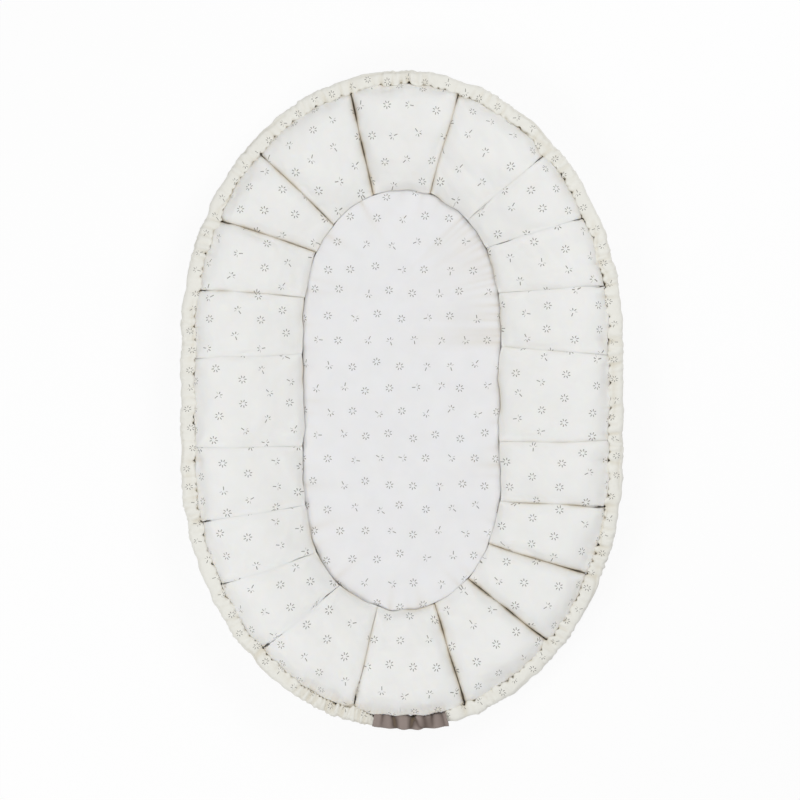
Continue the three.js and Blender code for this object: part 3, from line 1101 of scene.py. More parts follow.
    def _measure(self, piece: Object, wall: Oval, edge: RimEdge) -> PadSurface:
        """Measures where on its pad each point lies.

        Args:
            piece: The pad, pressed into its place.
            wall: The pads' outline.
            edge: Where the pads and the casing meet.

        Returns:
            The pad's surface, with nothing sewn yet.
        """
        points, out = coordinates(piece), normals(piece)
        inner, from_well, _ = WELL.outset(points)
        inner, outer = np.maximum(inner, 0), np.maximum(-wall.outset(points)[0], 0)
        _, from_rim, around = edge.rim.outset(points)
        upper = (points[:, 2] - middle_line(points, inner / (inner + outer))) / self.upper_rise
        upper = np.clip(upper, 0, 1)
        topside = smooth_step(out[:, 2], 0, self.facing_up) * (upper > 0)
        return PadSurface(
            points, out, inner, outer, from_well, from_rim, around, upper, topside,
            points.copy(), np.zeros(len(points)), np.zeros(len(points)), np.minimum(inner, outer),
        )

    def _meet_edges(self, pad: PadSurface) -> None:
        """Brings a pad to the casing's height, and rounds and leans it on the mattress.

        Args:
            pad: The pad's surface.
        """
        height = pad.moved[:, 2]
        height += (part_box("rim_casing")[1].z - height) * fade(pad.outer, self.rim_shoulder) * pad.topside
        broken = 0.7 + self.groove_breaks.at(pad.around)
        height -= self.rim_groove * broken * fade(pad.outer, self.rim_groove_reach) * pad.topside
        rounded = smooth_step(pad.points[:, 2], *self.brow_heights)
        height -= self.brow * rounded * fade(pad.inner, self.brow_reach, 1.3)
        beside = smooth_step(height, *self.leaning_rise) * (1 - smooth_step(height, *self.leaning_fall))
        leant = pad.inner * fade(pad.inner, self.leaning, 2) * beside
        pad.moved[:, :2] -= leant[:, None] * pad.from_well

    def _draw_down(self, pad: PadSurface, seam: Seam) -> None:
        """Closes a pad along one seam, draws it down and puckers it there.

        Args:
            pad: The pad's surface.
            seam: The seam.
        """
        tight, height = seam.tight, pad.moved[:, 2]
        along = pad.points @ seam.plane.outwards()
        depth = np.maximum(0, -seam.plane.past(pad.points))
        ends = (fade(pad.outer, self.end_reaches[0]), fade(pad.inner, self.end_reaches[1]))
        closed = self.closed * (1 + self.closed_more[0] * ends[0] + self.closed_more[1] * ends[1])
        closer = depth * fade(depth, closed, 2)
        depth = depth - closer
        pad.moved += closer[:, None] * seam.plane.normal
        patchy = 0.8 + self.patches.at(along, seam.number)
        inland = smooth_step(pad.outer, 0, self.valley_ends[0])
        inland *= smooth_step(pad.inner, 0, self.valley_ends[1])
        dip = between(self.valleys, tight) * fade(depth, self.valley_reach) * pad.upper * inland
        groove = tight * self.groove * patchy * fade(depth, between(self.groove_reaches, tight))
        level = np.interp(along, seam.places, seam.heights)
        level = np.where(pad.outer < self.held, np.minimum(level, height), level)
        evened = (level - height) * fade(depth, self.shoulder, 2)
        height += (evened - groove) * pad.topside - dip
        level = level - groove - dip
        over = (pad.upper > 0) & (depth < self.held)
        height[over] = np.minimum(height, level)[over]
        under = np.clip(level - height, 0, self.filled)
        filled = (under - under ** 2 / self.filled) * fade(depth, MM, 2)
        height += filled * (under < self.filled)
        phase = math.pi * along / self.pucker_spacing + self.pucker_drift.at(along, seam.puckers)
        pucker = (np.abs(np.sin(phase)) - 0.6) * between(self.puckers, tight)
        pucker *= (1 - fade(depth, MM)) * fade(depth, self.pucker_reach)
        stray = seam.side * self.stray.at(along, seam.number) * fade(depth, self.stray_reach)
        pad.moved += pad.out * pucker[:, None] + stray[:, None] * seam.plane.normal
        # Painted shade along the seam, more of it at the tighter seams.
        pad.crease = np.maximum(pad.crease, 0.95 * tight * patchy * fade(depth, self.crease_reach))
        pad.cornered = np.maximum(pad.cornered, fade(depth, self.notch_reach, 1.2))
        pad.open_side = np.minimum(pad.open_side, depth)

    def _wander(self, pad: PadSurface, number: int, edge: RimEdge) -> ndarray:
        """Lets a pad's edges stray from their ovals, gathers it at the rim and fills it unevenly.

        Args:
            pad: The pad's surface.
            number: Its place in the ring, from 0.
            edge: Where the pads and the casing meet.

        Returns:
            How far the gathers press each point in, in metres, 0 or less.
        """
        shift = edge.broad(pad.around) * fade(pad.outer, self.lobe_depth, 1.5)
        shift += edge.cusps(pad.around) * fade(pad.outer, self.cusp_depth)
        pad.moved[:, :2] += shift[:, None] * pad.from_rim
        folds = edge.gathers.over_pad(pad.around, pad.outer, self.gather_reach) * pad.upper
        uneven = sum(wave.at(pad.points, number) for wave in self.swells)
        uneven *= 1 - fade(pad.open_side, self.swell_clear, 2)
        pad.moved += pad.out * (folds + uneven)[:, None]
        back = pad.cornered * self.notch * fade(pad.inner, self.notch_depth) * pad.upper
        back += well_edge(pad.points)[0] * fade(pad.inner, self.well_depth)
        pad.moved[:, :2] += back[:, None] * pad.from_well
        pad.moved[:, 2] = np.maximum(pad.moved[:, 2], 0)
        return folds


@dataclass
class WallPads:
    """The ring of stuffed pads between the well and the rim."""

    wall: Oval = Oval(563 * MM, 857 * MM, 164 * MM)
    inflation: Inflation = Inflation(4.5 * MM, 2.5 * MM, 4.0, 0.01, 7 * MM)
    sewing: Sewing = Sewing()
    seam_fullness: float = 0.62  # How full a pad is at its seams before it is let out again.
    crown_power: float = 2.8  # How square that crown is from seam to seam.
    closing: float = 0.75  # What share of that narrowing the tightest seam keeps.
    well_power: float = 3.2  # How square the top of the section is at the well.
    rim_power: float = 4.2
    section_power: float = 2.6
    end_reach: float = 9 * MM  # How far from the well or the rim it is made squarer.
    widest_spacing: float = 8 * MM  # Over what length a pad's widest point is looked for.
    rim_ease: float = 16 * MM  # How far in from the rim and the well a pad is let out to them.
    seam_ease: float = 14 * MM
    lean: float = math.atan2(56, 146.5)  # How steeply the section rises towards the rim, in radians.
    half_along: float = 78 * MM
    half_thick: float = 38 * MM
    # By what share of its width a pad would reach on, were its neighbour not there.
    press: float = 0.03
    corner_power: float = 18.0  # How square a pad's corners are, seen from above.
    print_seed: int = 900

    def build(self, material: Material, edge: RimEdge) -> None:
        """Makes all the pads.

        Args:
            material: The pads' cloth.
            edge: Where the pads and the casing meet.
        """
        planes = [seam_planes(node) for node in WALL_NODES]
        pieces = [copy_of_node(node, node.replace("wall_pad", "pad")) for node in WALL_NODES]
        for piece, pair in zip(pieces, planes):
            self.inflation.prepare(piece, pair)
        self.inflation.run(pieces)
        for number, (node, pair, piece) in enumerate(zip(WALL_NODES, planes, pieces)):
            finish_modifier(piece, "SUBSURF", levels=1, render_levels=1)
            self._fill_place(piece, pair, node)
            self._press(piece, pair)
            self._let_out(piece, pair, number)
        lines = [self._seam_line(pieces, planes, number) for number in range(len(pieces))]
        for number, (node, pair, piece) in enumerate(zip(WALL_NODES, planes, pieces)):
            self._lay_cloth(piece, pair, number)
            seams = []
            for side, plane in enumerate(pair):
                seam = (number + side) % len(pieces)
                seams.append(Seam(
                    plane, *lines[seam], self.sewing.tightness(seam), seam,
                    31 * number + side, 2 * side - 1,
                ))
            self.sewing.sew(piece, tuple(seams), number, self.wall, edge)
            dress(piece, material, Body.NEST, node, FOLD_ANGLE)

    def _seam_line(
        self, pieces: list[Object], planes: list[tuple[SeamPlane, SeamPlane]], number: int
    ) -> tuple[ndarray, ndarray]:
        """Finds the height at which a pad and the one before it meet."""
        places, height = self._shoulder(pieces[number], planes[number][0])
        before = self._shoulder(pieces[number - 1], planes[number - 1][1])
        return places, (height + np.interp(places, *before)) / 2

    def _shoulder(self, piece: Object, plane: SeamPlane) -> tuple[ndarray, ndarray]:
        """Measures how high a pad stands a little way in from a seam.

        Args:
            piece: The pad.
            plane: The seam's plane.

        Returns:
            Places along the seam, and the height at each.
        """
        shoulder = self.sewing.shoulder
        points = coordinates(piece)
        depth = -plane.past(points)
        near = (depth > shoulder / 2) & (depth < 1.5 * shoulder) & (normals(piece)[:, 2] > 0.3)
        along = points[near] @ plane.outwards()
        places = np.arange(along.min(), along.max(), shoulder / 2)
        weight = fade(places[:, None] - along[None], shoulder / 2, 2)
        return places, weight @ points[near, 2] / weight.sum(1)

    def _fill_place(self, piece: Object, planes: tuple[SeamPlane, SeamPlane], node: str) -> None:
        """Stretches a blown-up pad until it fills its place in the ring.

        Args:
            piece: The pad.
            planes: Its two seam planes.
            node: The CAD node that it stands for.
        """
        points = coordinates(piece)
        low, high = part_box(node)
        points[:, 2] = spread(points[:, 2], 0, low.z, high.z)
        first, second = (-plane.past(points) for plane in planes)
        across = first / (first + second)
        way = planes[1].normal - planes[0].normal
        way /= np.linalg.norm(way)
        shift = (spread(across, self.press) - across) * (first + second)
        points += shift[:, None] * way
        inner, way_in, _ = WELL.outset(points)
        outer, way_out, _ = self.wall.outset(points)
        reach = inner - outer
        share = inner / reach
        shift = (spread(share, self.press / 2) - share) * reach
        way = way_in * (1 - share)[:, None] + way_out * share[:, None]
        points[:, :2] += shift[:, None] * way
        place_vertices(piece, self._squared(points, planes))

    def _squared(self, points: ndarray, planes: tuple[SeamPlane, SeamPlane]) -> ndarray:
        """Pushes a pad's rounded corners out until they meet the neighbours, seen from above.

        Args:
            points: The pad's points.
            planes: Its two seam planes.

        Returns:
            The moved points.
        """
        first, second = (-plane.past(points) for plane in planes)
        inner, way_in, _ = WELL.outset(points)
        outer, way_out, _ = self.wall.outset(points)
        aside = 2 * first / (first + second) - 1
        along = 2 * inner / (inner - outer) - 1
        far = np.maximum(np.hypot(aside, along), 1e-6)
        square, rounded = (
            (np.abs(aside / far) ** power + np.abs(along / far) ** power) ** (-1 / power)
            for power in (self.corner_power, self.corner_power / 2)
        )
        push = (square / rounded - 1) * np.clip(far, 0, 1) ** 4
        sideways = (planes[1].normal - planes[0].normal) / 2
        way = way_in * ((1 - along) / 2)[:, None] + way_out * ((1 + along) / 2)[:, None]
        points = points + (push * aside * (first + second) / 2)[:, None] * sideways
        points[:, :2] += (push * along * (inner - outer) / 2)[:, None] * way
        return points

    def _shortfall(self, past: ndarray, along: ndarray) -> ndarray:
        """Works out how far a pad's widest line stays short of a face that it should lie on.

        Args:
            past: How far each point lies past the face.
            along: How far along the face it lies.

        Returns:
            One number for each point, 0 or more.
        """
        count = max(2, round((along.max() - along.min()) / self.widest_spacing))
        share = spread(along)
        widest = np.full(count, -np.inf)
        np.maximum.at(widest, np.minimum((share * count).astype(int), count - 1), past)
        return np.interp(share, (np.arange(count) + 0.5) / count, np.maximum(0, -widest))

    def _press(self, piece: Object, planes: tuple[SeamPlane, SeamPlane]) -> None:
        """Presses a pad flat on its neighbours, the rim, the mattress's side and the floor.

        Args:
            piece: The pad.
            planes: Its two seam planes.
        """
        points = coordinates(piece)
        sides = ((self.wall, 1), (WELL, -1))
        for oval, sign in sides:
            past, way, _ = oval.outset(points)
            short = self._shortfall(past * sign, points[:, :2] @ planes[0].normal[:2])
            points[:, :2] += (sign * short * fade(np.abs(past), self.rim_ease))[:, None] * way
        for plane in planes:
            past = plane.past(points)
            short = self._shortfall(past, points @ plane.outwards())
            points += (short * fade(np.maximum(-past, 0), self.seam_ease))[:, None] * plane.normal
        for plane in planes:
            points -= np.maximum(0, plane.past(points))[:, None] * plane.normal
        for oval, sign in sides:
            past, way, _ = oval.outset(points)
            points[:, :2] -= sign * np.maximum(0, past * sign)[:, None] * way
        points[:, 2] = np.maximum(points[:, 2], 0)
        place_vertices(piece, points)

    def _let_out(self, piece: Object, planes: tuple[SeamPlane, SeamPlane], number: int) -> None:
        """Raises a pad's top towards its loose seams, the rim and the mattress, so that they close.

        Args:
            piece: The pad.
            planes: Its two seam planes.
            number: Its place in the ring, from 0.
        """
        points = coordinates(piece)
        inner, outer = WELL.outset(points)[0], self.wall.outset(points)[0]
        share = np.clip(inner / (inner - outer), 0.006, 0.994)
        line = middle_line(points, share)
        first, second = (np.maximum(-plane.past(points), 0) for plane in planes)
        across = np.abs(2 * np.clip(first / (first + second), 0, 1) - 1)
        narrowing = 1 / between((self.seam_fullness, 1), squared_off(across, self.crown_power)) - 1
        nearer = smooth_step(first / (first + second), 0.3, 0.7)
        tight = between([self.sewing.tightness(seam) for seam in (number, number + 1)], nearer)
        end = np.abs(2 * share - 1)
        square_end = squared_off(end, np.where(share < 0.5, self.well_power, self.rim_power))
        near_end = fade(np.minimum(inner, -outer), self.end_reach)
        squarer = near_end * (square_end / squared_off(end, self.section_power) - 1)
        stretch = 1 + (1 - self.closing * tight) * narrowing + squarer
        higher = points[:, 2] > line
        points[higher, 2] = (line + (points[:, 2] - line) * stretch)[higher]
        place_vertices(piece, points)

    def _lay_cloth(self, piece: Object, planes: tuple[SeamPlane, SeamPlane], number: int) -> None:
        """Lays the print round a pad's section.

        Args:
            piece: The pad.
            planes: Its two seam planes.
            number: Its place in the ring, from 0.
        """
        points = coordinates(piece)
        outward = planes[0].outwards() + planes[1].outwards()
        outward /= np.linalg.norm(outward)
        middle = (points.max(0) + points.min(0)) / 2
        along = (points - middle) @ outward
        rise = points[:, 2] - middle[2]
        cosine, sine = math.cos(self.lean), math.sin(self.lean)
        reach = (along * cosine + rise * sine) / self.half_along
        thick = (rise * cosine - along * sine) / self.half_thick
        steps = np.linspace(-math.pi, math.pi, 721)
        line = np.column_stack([np.cos(steps) * self.half_along, np.sin(steps) * self.half_thick])
        length = np.concatenate([[0], np.cumsum(np.linalg.norm(np.diff(line, axis=0), axis=1))])
        whole = length[-1]
        around = (np.interp(np.arctan2(thick, reach), steps, length) + whole - whole / 4) % whole
        shift = np.random.default_rng(self.print_seed + number).random(2)
        uv = np.column_stack([(points - middle) @ np.cross(UP, outward) + shift[0], around])
        set_uv(piece, uv, whole, shift[1])


@dataclass
class Mattress:
    """The loose mattress: a filled core in a printed cover."""

    cover_inflation: Inflation = Inflation(6 * MM, 2.5 * MM, 3.0, 0.012, 6 * MM)
    core_voxel: float = 7 * MM
    core_inset: float = 3 * MM  # How far inside the cover the filling lies.
    lumps: Wave = Wave(30 * MM, 0.5 * MM, 74)
    side_gap: float = 0.05 * MM
    edge_fullness: float = 10.0  # How full its upper edge is stuffed.
    edge_reach: float = 15 * MM
    edge_drop: float = 1.2 * MM
    edge_drop_reach: float = 3 * MM
    swells: tuple[Wave, Wave] = (Wave(85 * MM, 0.9 * MM, 71), Wave(38 * MM, 0.315 * MM, 72))
    swell_stretch: Pair = (0.45, 1.0)  # How the first of them is stretched across and along the mattress.
    swell_clear: float = 45 * MM  # How far in from the edge they have their whole height.
    side_swell: float = 1.8 * MM  # How far its side swells past its plain outline.
    brim_swell: float = 8.0 * MM  # How much further its upper edge does.
    brim_depths: Pair = (18 * MM, 6 * MM)  # Between which depths under the top that begins.
    swell_depth: float = 20 * MM  # How far in from the edge the swelling moves the cloth.
    well_depth: float = 30 * MM  # How far in the straying of the well's edge does.
    slit_length: float = 180 * MM
    slit_width: float = 3 * MM
    slit_depth: float = 2 * MM
    tuck: float = 1.8 * MM  # How deep the short tucks round the edge are.
    tuck_spacing: Pair = (14 * MM, 34 * MM)
    tuck_reach: float = 14 * MM
    tuck_dense_shares: Pair = (0.06, 0.2)  # Between which shares of the way round they lie closest.
    # Between which depths under the top the shade begins.
    shade_drops: Pair = (7 * MM, 16 * MM)
    shade_end: float = 14 * MM  # From which depth on it fades.
    # How dark it is in the edge's light and dark stretches.
    shades: Pair = (0.18, 0.38)
    shade_reaches: Pair = (5 * MM, 4 * MM)  # How far in from the side and how far down it fades.

    def build(self, cover_cloth: Material, filling: Material) -> None:
        """Makes the cover and the core."""
        self._cover(cover_cloth)
        self._core(filling)

    def _cover(self, cloth: Material) -> None:
        """Makes the filled cover, from the core grown by the cover's cloth.

        Args:
            cloth: Its cloth.
        """
        low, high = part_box("mattress_cover")
        piece = copy_of_node("mattress_core", "mattress_case")
        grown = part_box("mattress_core")[0].z - low.z
        place_vertices(piece, coordinates(piece) + normals(piece) * grown)
        self.cover_inflation.prepare(piece)
        self.cover_inflation.run([piece])
        finish_modifier(piece, "SUBSURF", levels=1, render_levels=1)
        points = coordinates(piece)
        for axis in range(3):
            points[:, axis] = spread(points[:, axis], 0, low[axis], high[axis])
        self._lay_cloth(piece, points)
        past, way, around = WELL.outset(points)
        inside = np.maximum(-past, 0)
        middle = (low.z + high.z) / 2
        tucks, top = self._stuff(points, inside, around, middle, high.z)
        points[:, :2] += (0.5 * tucks * (1 - top))[:, None] * way
        brim = smooth_step(points[:, 2], *(high.z - depth for depth in self.brim_depths))
        swollen = (self.side_swell + brim * self.brim_swell) * fade(inside, self.swell_depth)
        swollen -= np.maximum(0, past + swollen + self.side_gap)
        points[:, :2] += swollen[:, None] * way
        points[:, :2] += (well_edge(points)[0] * fade(inside, self.well_depth))[:, None] * way
        points[:, 2] = np.maximum(points[:, 2], low.z)
        slit = self._slit(points, points[:, 2] < middle)
        points[:, 2] += slit * self.slit_depth
        place_vertices(piece, points)
        # Painted shade down the edge beside the pads, more of it in the dark stretches and at the tucks,
        # and painted dark along the slit underneath.
        drop = high.z - points[:, 2]
        shade = smooth_step(drop, *self.shade_drops) * between(self.shades, well_edge(points)[1])
        shade *= fade(inside, self.shade_reaches[0])
        shade *= fade(np.maximum(drop - self.shade_end, 0), self.shade_reaches[1])
        paint_crease_shade(piece, np.maximum(shade - 0.25 * tucks / self.tuck * top, 0.9 * slit))
        dress(piece, cloth, Body.MATTRESS, "mattress_cover", FOLD_ANGLE)

    def _stuff(
        self, points: ndarray, inside: ndarray, around: ndarray, middle: float, top_height: float
    ) -> tuple[ndarray, ndarray]:
        """Stuffs the cover's upper edge, lets the filling show and draws in the tucks round the edge.

        Args:
            points: The cover's points, whose heights it changes.
            inside: How far inside the well's oval each lies.
            around: How far round the oval.
            middle: The height of the cover's middle.
            top_height: The height of its top.

        Returns:
            How far the tucks draw each point in, 0 or less, and how near the top it is, from 0 to 1.
        """
        share = np.clip((points[:, 2] - middle) / (top_height - middle), 0, 1)
        fuller = 1 - (1 - share) ** (1 + self.edge_fullness * fade(inside, self.edge_reach))
        raised = middle + fuller * (top_height - middle)
        raised -= self.edge_drop * fade(inside, self.edge_drop_reach) * share
        points[:, 2] = np.where(share > 0, raised, points[:, 2])
        top = smooth_step(points[:, 2], middle, top_height - 3 * MM)
        plan = points[:, :2]
        broad = self.swells[0].at(plan * self.swell_stretch) + self.swells[1].at(plan)
        points[:, 2] += broad * top * between((0.3, 1), smooth_step(inside, 0, self.swell_clear))
        total = WELL.around()
        dense = tuple(end * total for end in self.tuck_dense_shares)
        folds = Gathering(self.tuck_spacing, self.tuck, dense, 77).draw(total, np.zeros(1))
        tucks = folds.over_pad(around, inside, self.tuck_reach)
        points[:, 2] += tucks * top
        return tucks, top

    def _slit(self, points: ndarray, under: ndarray) -> ndarray:
        """Draws the lapped slit that the core goes in by, across the underside."""
        beyond = np.maximum(0, np.abs(points[:, 0]) - self.slit_length / 2)
        return under * fade(np.hypot(beyond, points[:, 1]), self.slit_width, 2)

    def _core(self, filling: Material) -> None:
        """Makes the core's lumpy filling, just inside the cover.

        Args:
            filling: Its filling.
        """
        piece = copy_of_node("mattress_core", "mattress_filling")
        finish_modifier(piece, "SUBSURF", levels=2, render_levels=2)
        finish_modifier(piece, "REMESH", mode="VOXEL", voxel_size=self.core_voxel)
        points = coordinates(piece)
        lumps = self.lumps.at(points) - self.core_inset
        place_vertices(piece, points + normals(piece) * lumps[:, None])
        self._lay_cloth(piece, coordinates(piece))
        paint_crease_shade(piece, np.zeros(len(points)))
        dress(piece, filling, Body.MATTRESS, "mattress_core")

    @staticmethod
    def _lay_cloth(piece: Object, points: ndarray) -> None:
        """Lays flat cloth over a mattress piece, as far down its side as it reaches.

        Args:
            piece: The piece.
            points: Its points.
        """
        past, way, _ = WELL.outset(points)
        top, bottom = points[:, 2].max(), points[:, 2].min()
        drop = np.minimum(top - points[:, 2], (top - bottom) / 2)
        set_uv(piece, points[:, :2] + way * (drop * fade(np.maximum(-past, 0), 12 * MM))[:, None])


def tube(name: str, rings: ndarray) -> Object:
    """Makes an open tube from rings of points.

    Args:
        name: The object's name.
        rings: Points by ring and side.

    Returns:
        The tube, with its faces pointing out.
    """
    count, sides = rings.shape[:2]
    ring, side = np.meshgrid(np.arange(count - 1) * sides, np.arange(sides), indexing="ij")
    beside = (side + 1) % sides
    faces = np.stack([ring + side, ring + beside, ring + sides + beside, ring + sides + side], 2)
    mesh = bpy.data.meshes.new(name)
    mesh.from_pydata(rings.reshape(-1, 3).tolist(), [], faces.reshape(-1, 4).tolist())
    mesh.update()
    piece = add_object(name, mesh)
    if Vector(mesh.polygons[0].normal).dot(Vector(rings[0, 0] - rings[0].mean(0))) < 0:
        mesh.flip_normals()
    return piece


@dataclass
class ClothTube:
    """What the casing and the sleeve share: thin cloth drawn up round the elastic."""

    width: float
    height: float
    power: float  # How square its section is: 2 is an ellipse.
    step: float
    sides: int
    thickness: float
    gather_ratio: float  # How much longer the cloth was cut than the tube is.

    def _section(self, angle: ndarray, power: ndarray) -> tuple[ndarray, ndarray]:
        """Gives the plain, squared-off section.

        Args:
            angle: Angles round it, 0 outwards and a quarter turn up.
            power: How square it is at each.

        Returns:
            How far out and how far up each point lies from its middle.
        """
        cosine, sine = np.cos(angle), np.sin(angle)
        out = np.sign(cosine) * np.abs(cosine) ** (2 / power) * self.width / 2
        return out, np.sign(sine) * np.abs(sine) ** (2 / power) * self.height / 2

    def _sew_up(
        self,
        name: str,
        line: tuple[ndarray, ndarray, ndarray],
        section: tuple[ndarray, ndarray],
        out: ndarray,
        height: ndarray,
        crease: ndarray,
    ) -> tuple[Object, Pair]:
        """Makes the tube, lays the print on it and gives the cloth its thickness.

        Args:
            name: The object's name.
            line: How far along each station is, its place and the level way outwards there.
            section: The plain section.
            out: How far outwards each point lies, by station and side.
            height: How high it lies.
            crease: How much shade is painted on it, from 0 to 1.

        Returns:
            The tube, and the width that its cloth was cut to, round its section.
        """
        along, place, outward = line
        rings = np.empty((*out.shape, 3))
        rings[:, :, :2] = place[:, None] + outward[:, None] * out[:, :, None]
        rings[:, :, 2] = height
        piece = tube(name, rings)
        corners = np.column_stack(section)
        steps = np.linalg.norm(np.roll(corners, -1, axis=0) - corners, axis=1)
        around, whole = np.concatenate([[0], np.cumsum(steps)[:-1]]), float(steps.sum())
        uv = np.stack(np.broadcast_arrays(along[:, None], around[None]), 2)
        set_uv(piece, uv.reshape(-1, 2), whole)
        paint_crease_shade(piece, crease.ravel())
        finish_modifier(piece, "SOLIDIFY", thickness=self.thickness, offset=-1)
        return piece, whole


@dataclass
class RimCasing(ClothTube):
    """The gathered cloth tube round the rim, open at the foot."""

    width: float = 22 * MM
    height: float = 26 * MM
    power: float = 3.0
    step: float = 1.45 * MM
    sides: int = 30
    thickness: float = 0.6 * MM
    gather_ratio: float = 1.25
    corner_power: float = 4.2  # How square it is where it meets the pads.
    crowding: float = 0.45  # How much closer the section's points are where the casing shows most.
    crowded: float = 0.65 * math.pi  # The angle where that is.
    opening: float = 96 * MM
    seam: float = 0.86 * math.pi  # The angle of the seam that it is gathered along.
    pinch: float = 0.1  # How much narrower the casing is where a pad seam meets it.
    pinch_reach: float = 8 * MM
    neck: float = 0.24  # How much narrower each end is, where it goes into the sleeve.
    neck_reach: float = 14 * MM
    humps: tuple[Wave, Wave] = (Wave(60 * MM, 0.9 * MM, 81), Wave(24 * MM, 0.45 * MM, 82))
    fold: float = 1.5 * MM  # How deep the long folds along it are.
    fold_angles: Pair = (0.9, 1.9)  # Where round the section those folds lie.
    fold_width: float = 0.2
    fold_drift: Wave = Wave(120 * MM, 0.35, 85)  # How they drift round the section.
    fold_strength: Wave = Wave(170 * MM, 1.0, 95)
    wrinkle: Wave = Wave(7 * MM, 0.5 * MM, 87)
    wrinkle_strength: Wave = Wave(140 * MM, 1.0, 88)
    # How far round the section the painted shade along the inner side reaches, in radians.
    seam_shade_width: float = 0.5
    shade_fold_depth: float = 3.2 * MM  # How deep a fold with the darkest painted shade is.

    def build(self, material: Material, edge: RimEdge, middle: float) -> None:
        """Makes the casing.

        Args:
            material: Its cloth.
            edge: Where the pads and the casing meet.
            middle: The height of its middle.
        """
        total = edge.rim.around()
        start = edge.foot + self.opening / 2
        length = total - self.opening
        along = np.linspace(0, length, round(length / self.step) + 1)
        even = np.linspace(0, TURN, self.sides, endpoint=False)
        angle = even - self.crowding * np.sin(even - self.crowded)
        swell = self._folds(along, angle, edge.gathers.shifted(start, total))
        inner_corner = 2 * np.maximum(-np.cos(angle), 0) * np.maximum(np.sin(angle), 0)
        out, rise = self._section(angle, between((self.power, self.corner_power), inner_corner))
        apart = np.abs(along[:, None] - ((edge.seams - start) % total)[None]).min(1)
        from_end = np.minimum(along, length - along)
        girth = 1 - self.pinch * fade(apart, self.pinch_reach, 2)
        girth *= 1 - self.neck * (1 - smooth_step(from_end, 0, self.neck_reach))
        scale = girth[:, None] * (1 + swell / np.hypot(out, rise)[None])
        humps = sum(wave.at(along) for wave in self.humps) * girth
        out_all = np.maximum(out[None] * scale + humps[:, None], -self.width / 2 - 0.1 * MM)
        places = (start + along) % total
        shifts = ((edge.broad(places), -self.width / 2), (edge.cusps(places), self.width / 4))
        for shift, outermost in shifts:
            out_all += shift[:, None] * smooth_step(-out, outermost, self.width / 2)[None]
        # Painted shade: a little along the inner side, where the casing meets the pads, and more in the
        # folds drawn in, most of all on that side.
        inner_side_shade = fade(np.abs(angle - math.pi), self.seam_shade_width, 2)[None]
        fold_shade = np.clip(-swell / self.shade_fold_depth, 0, 1)
        piece, whole = self._sew_up(
            "casing", (along * self.gather_ratio, *edge.rim.at(start + along)), (out, rise), out_all,
            middle + rise[None] * scale, 0.2 * inner_side_shade + fold_shade * between((0.2, 0.95), inner_side_shade),
        )
        dress(piece, material, Body.NEST, "rim_casing")

    def _folds(self, along: ndarray, angle: ndarray, gathers: Gathers) -> ndarray:
        """Works out how far the cloth stands off its plain section.

        Args:
            along: Distances along the casing.
            angle: Angles round the section, 0 outwards and a quarter turn up.
            gathers: The gathers along its inner seam.

        Returns:
            One number for each station and side, in metres.
        """
        swell = gathers.round_tube(along, angle, self.seam)
        for number, turn in enumerate(self.fold_angles):
            line = turn + self.fold_drift.at(along, number)
            strength = smooth_step(self.fold_strength.at(along, number), -0.2, 0.9)
            valley = fade(np.abs(angle[None] - line[:, None]), self.fold_width, 2)
            swell -= strength[:, None] * valley * self.fold
        around = angle[None] * (self.width + self.height) / 4
        grid = np.stack(np.broadcast_arrays(along[:, None], around), 2)
        fine = self.wrinkle.at(grid.reshape(-1, 2) * (1.0, 0.3)).reshape(swell.shape)
        patchy = smooth_step(self.wrinkle_strength.at(along), -0.6, 0.8)
        return swell + fine * between((0.3, 1.5), patchy)[:, None]


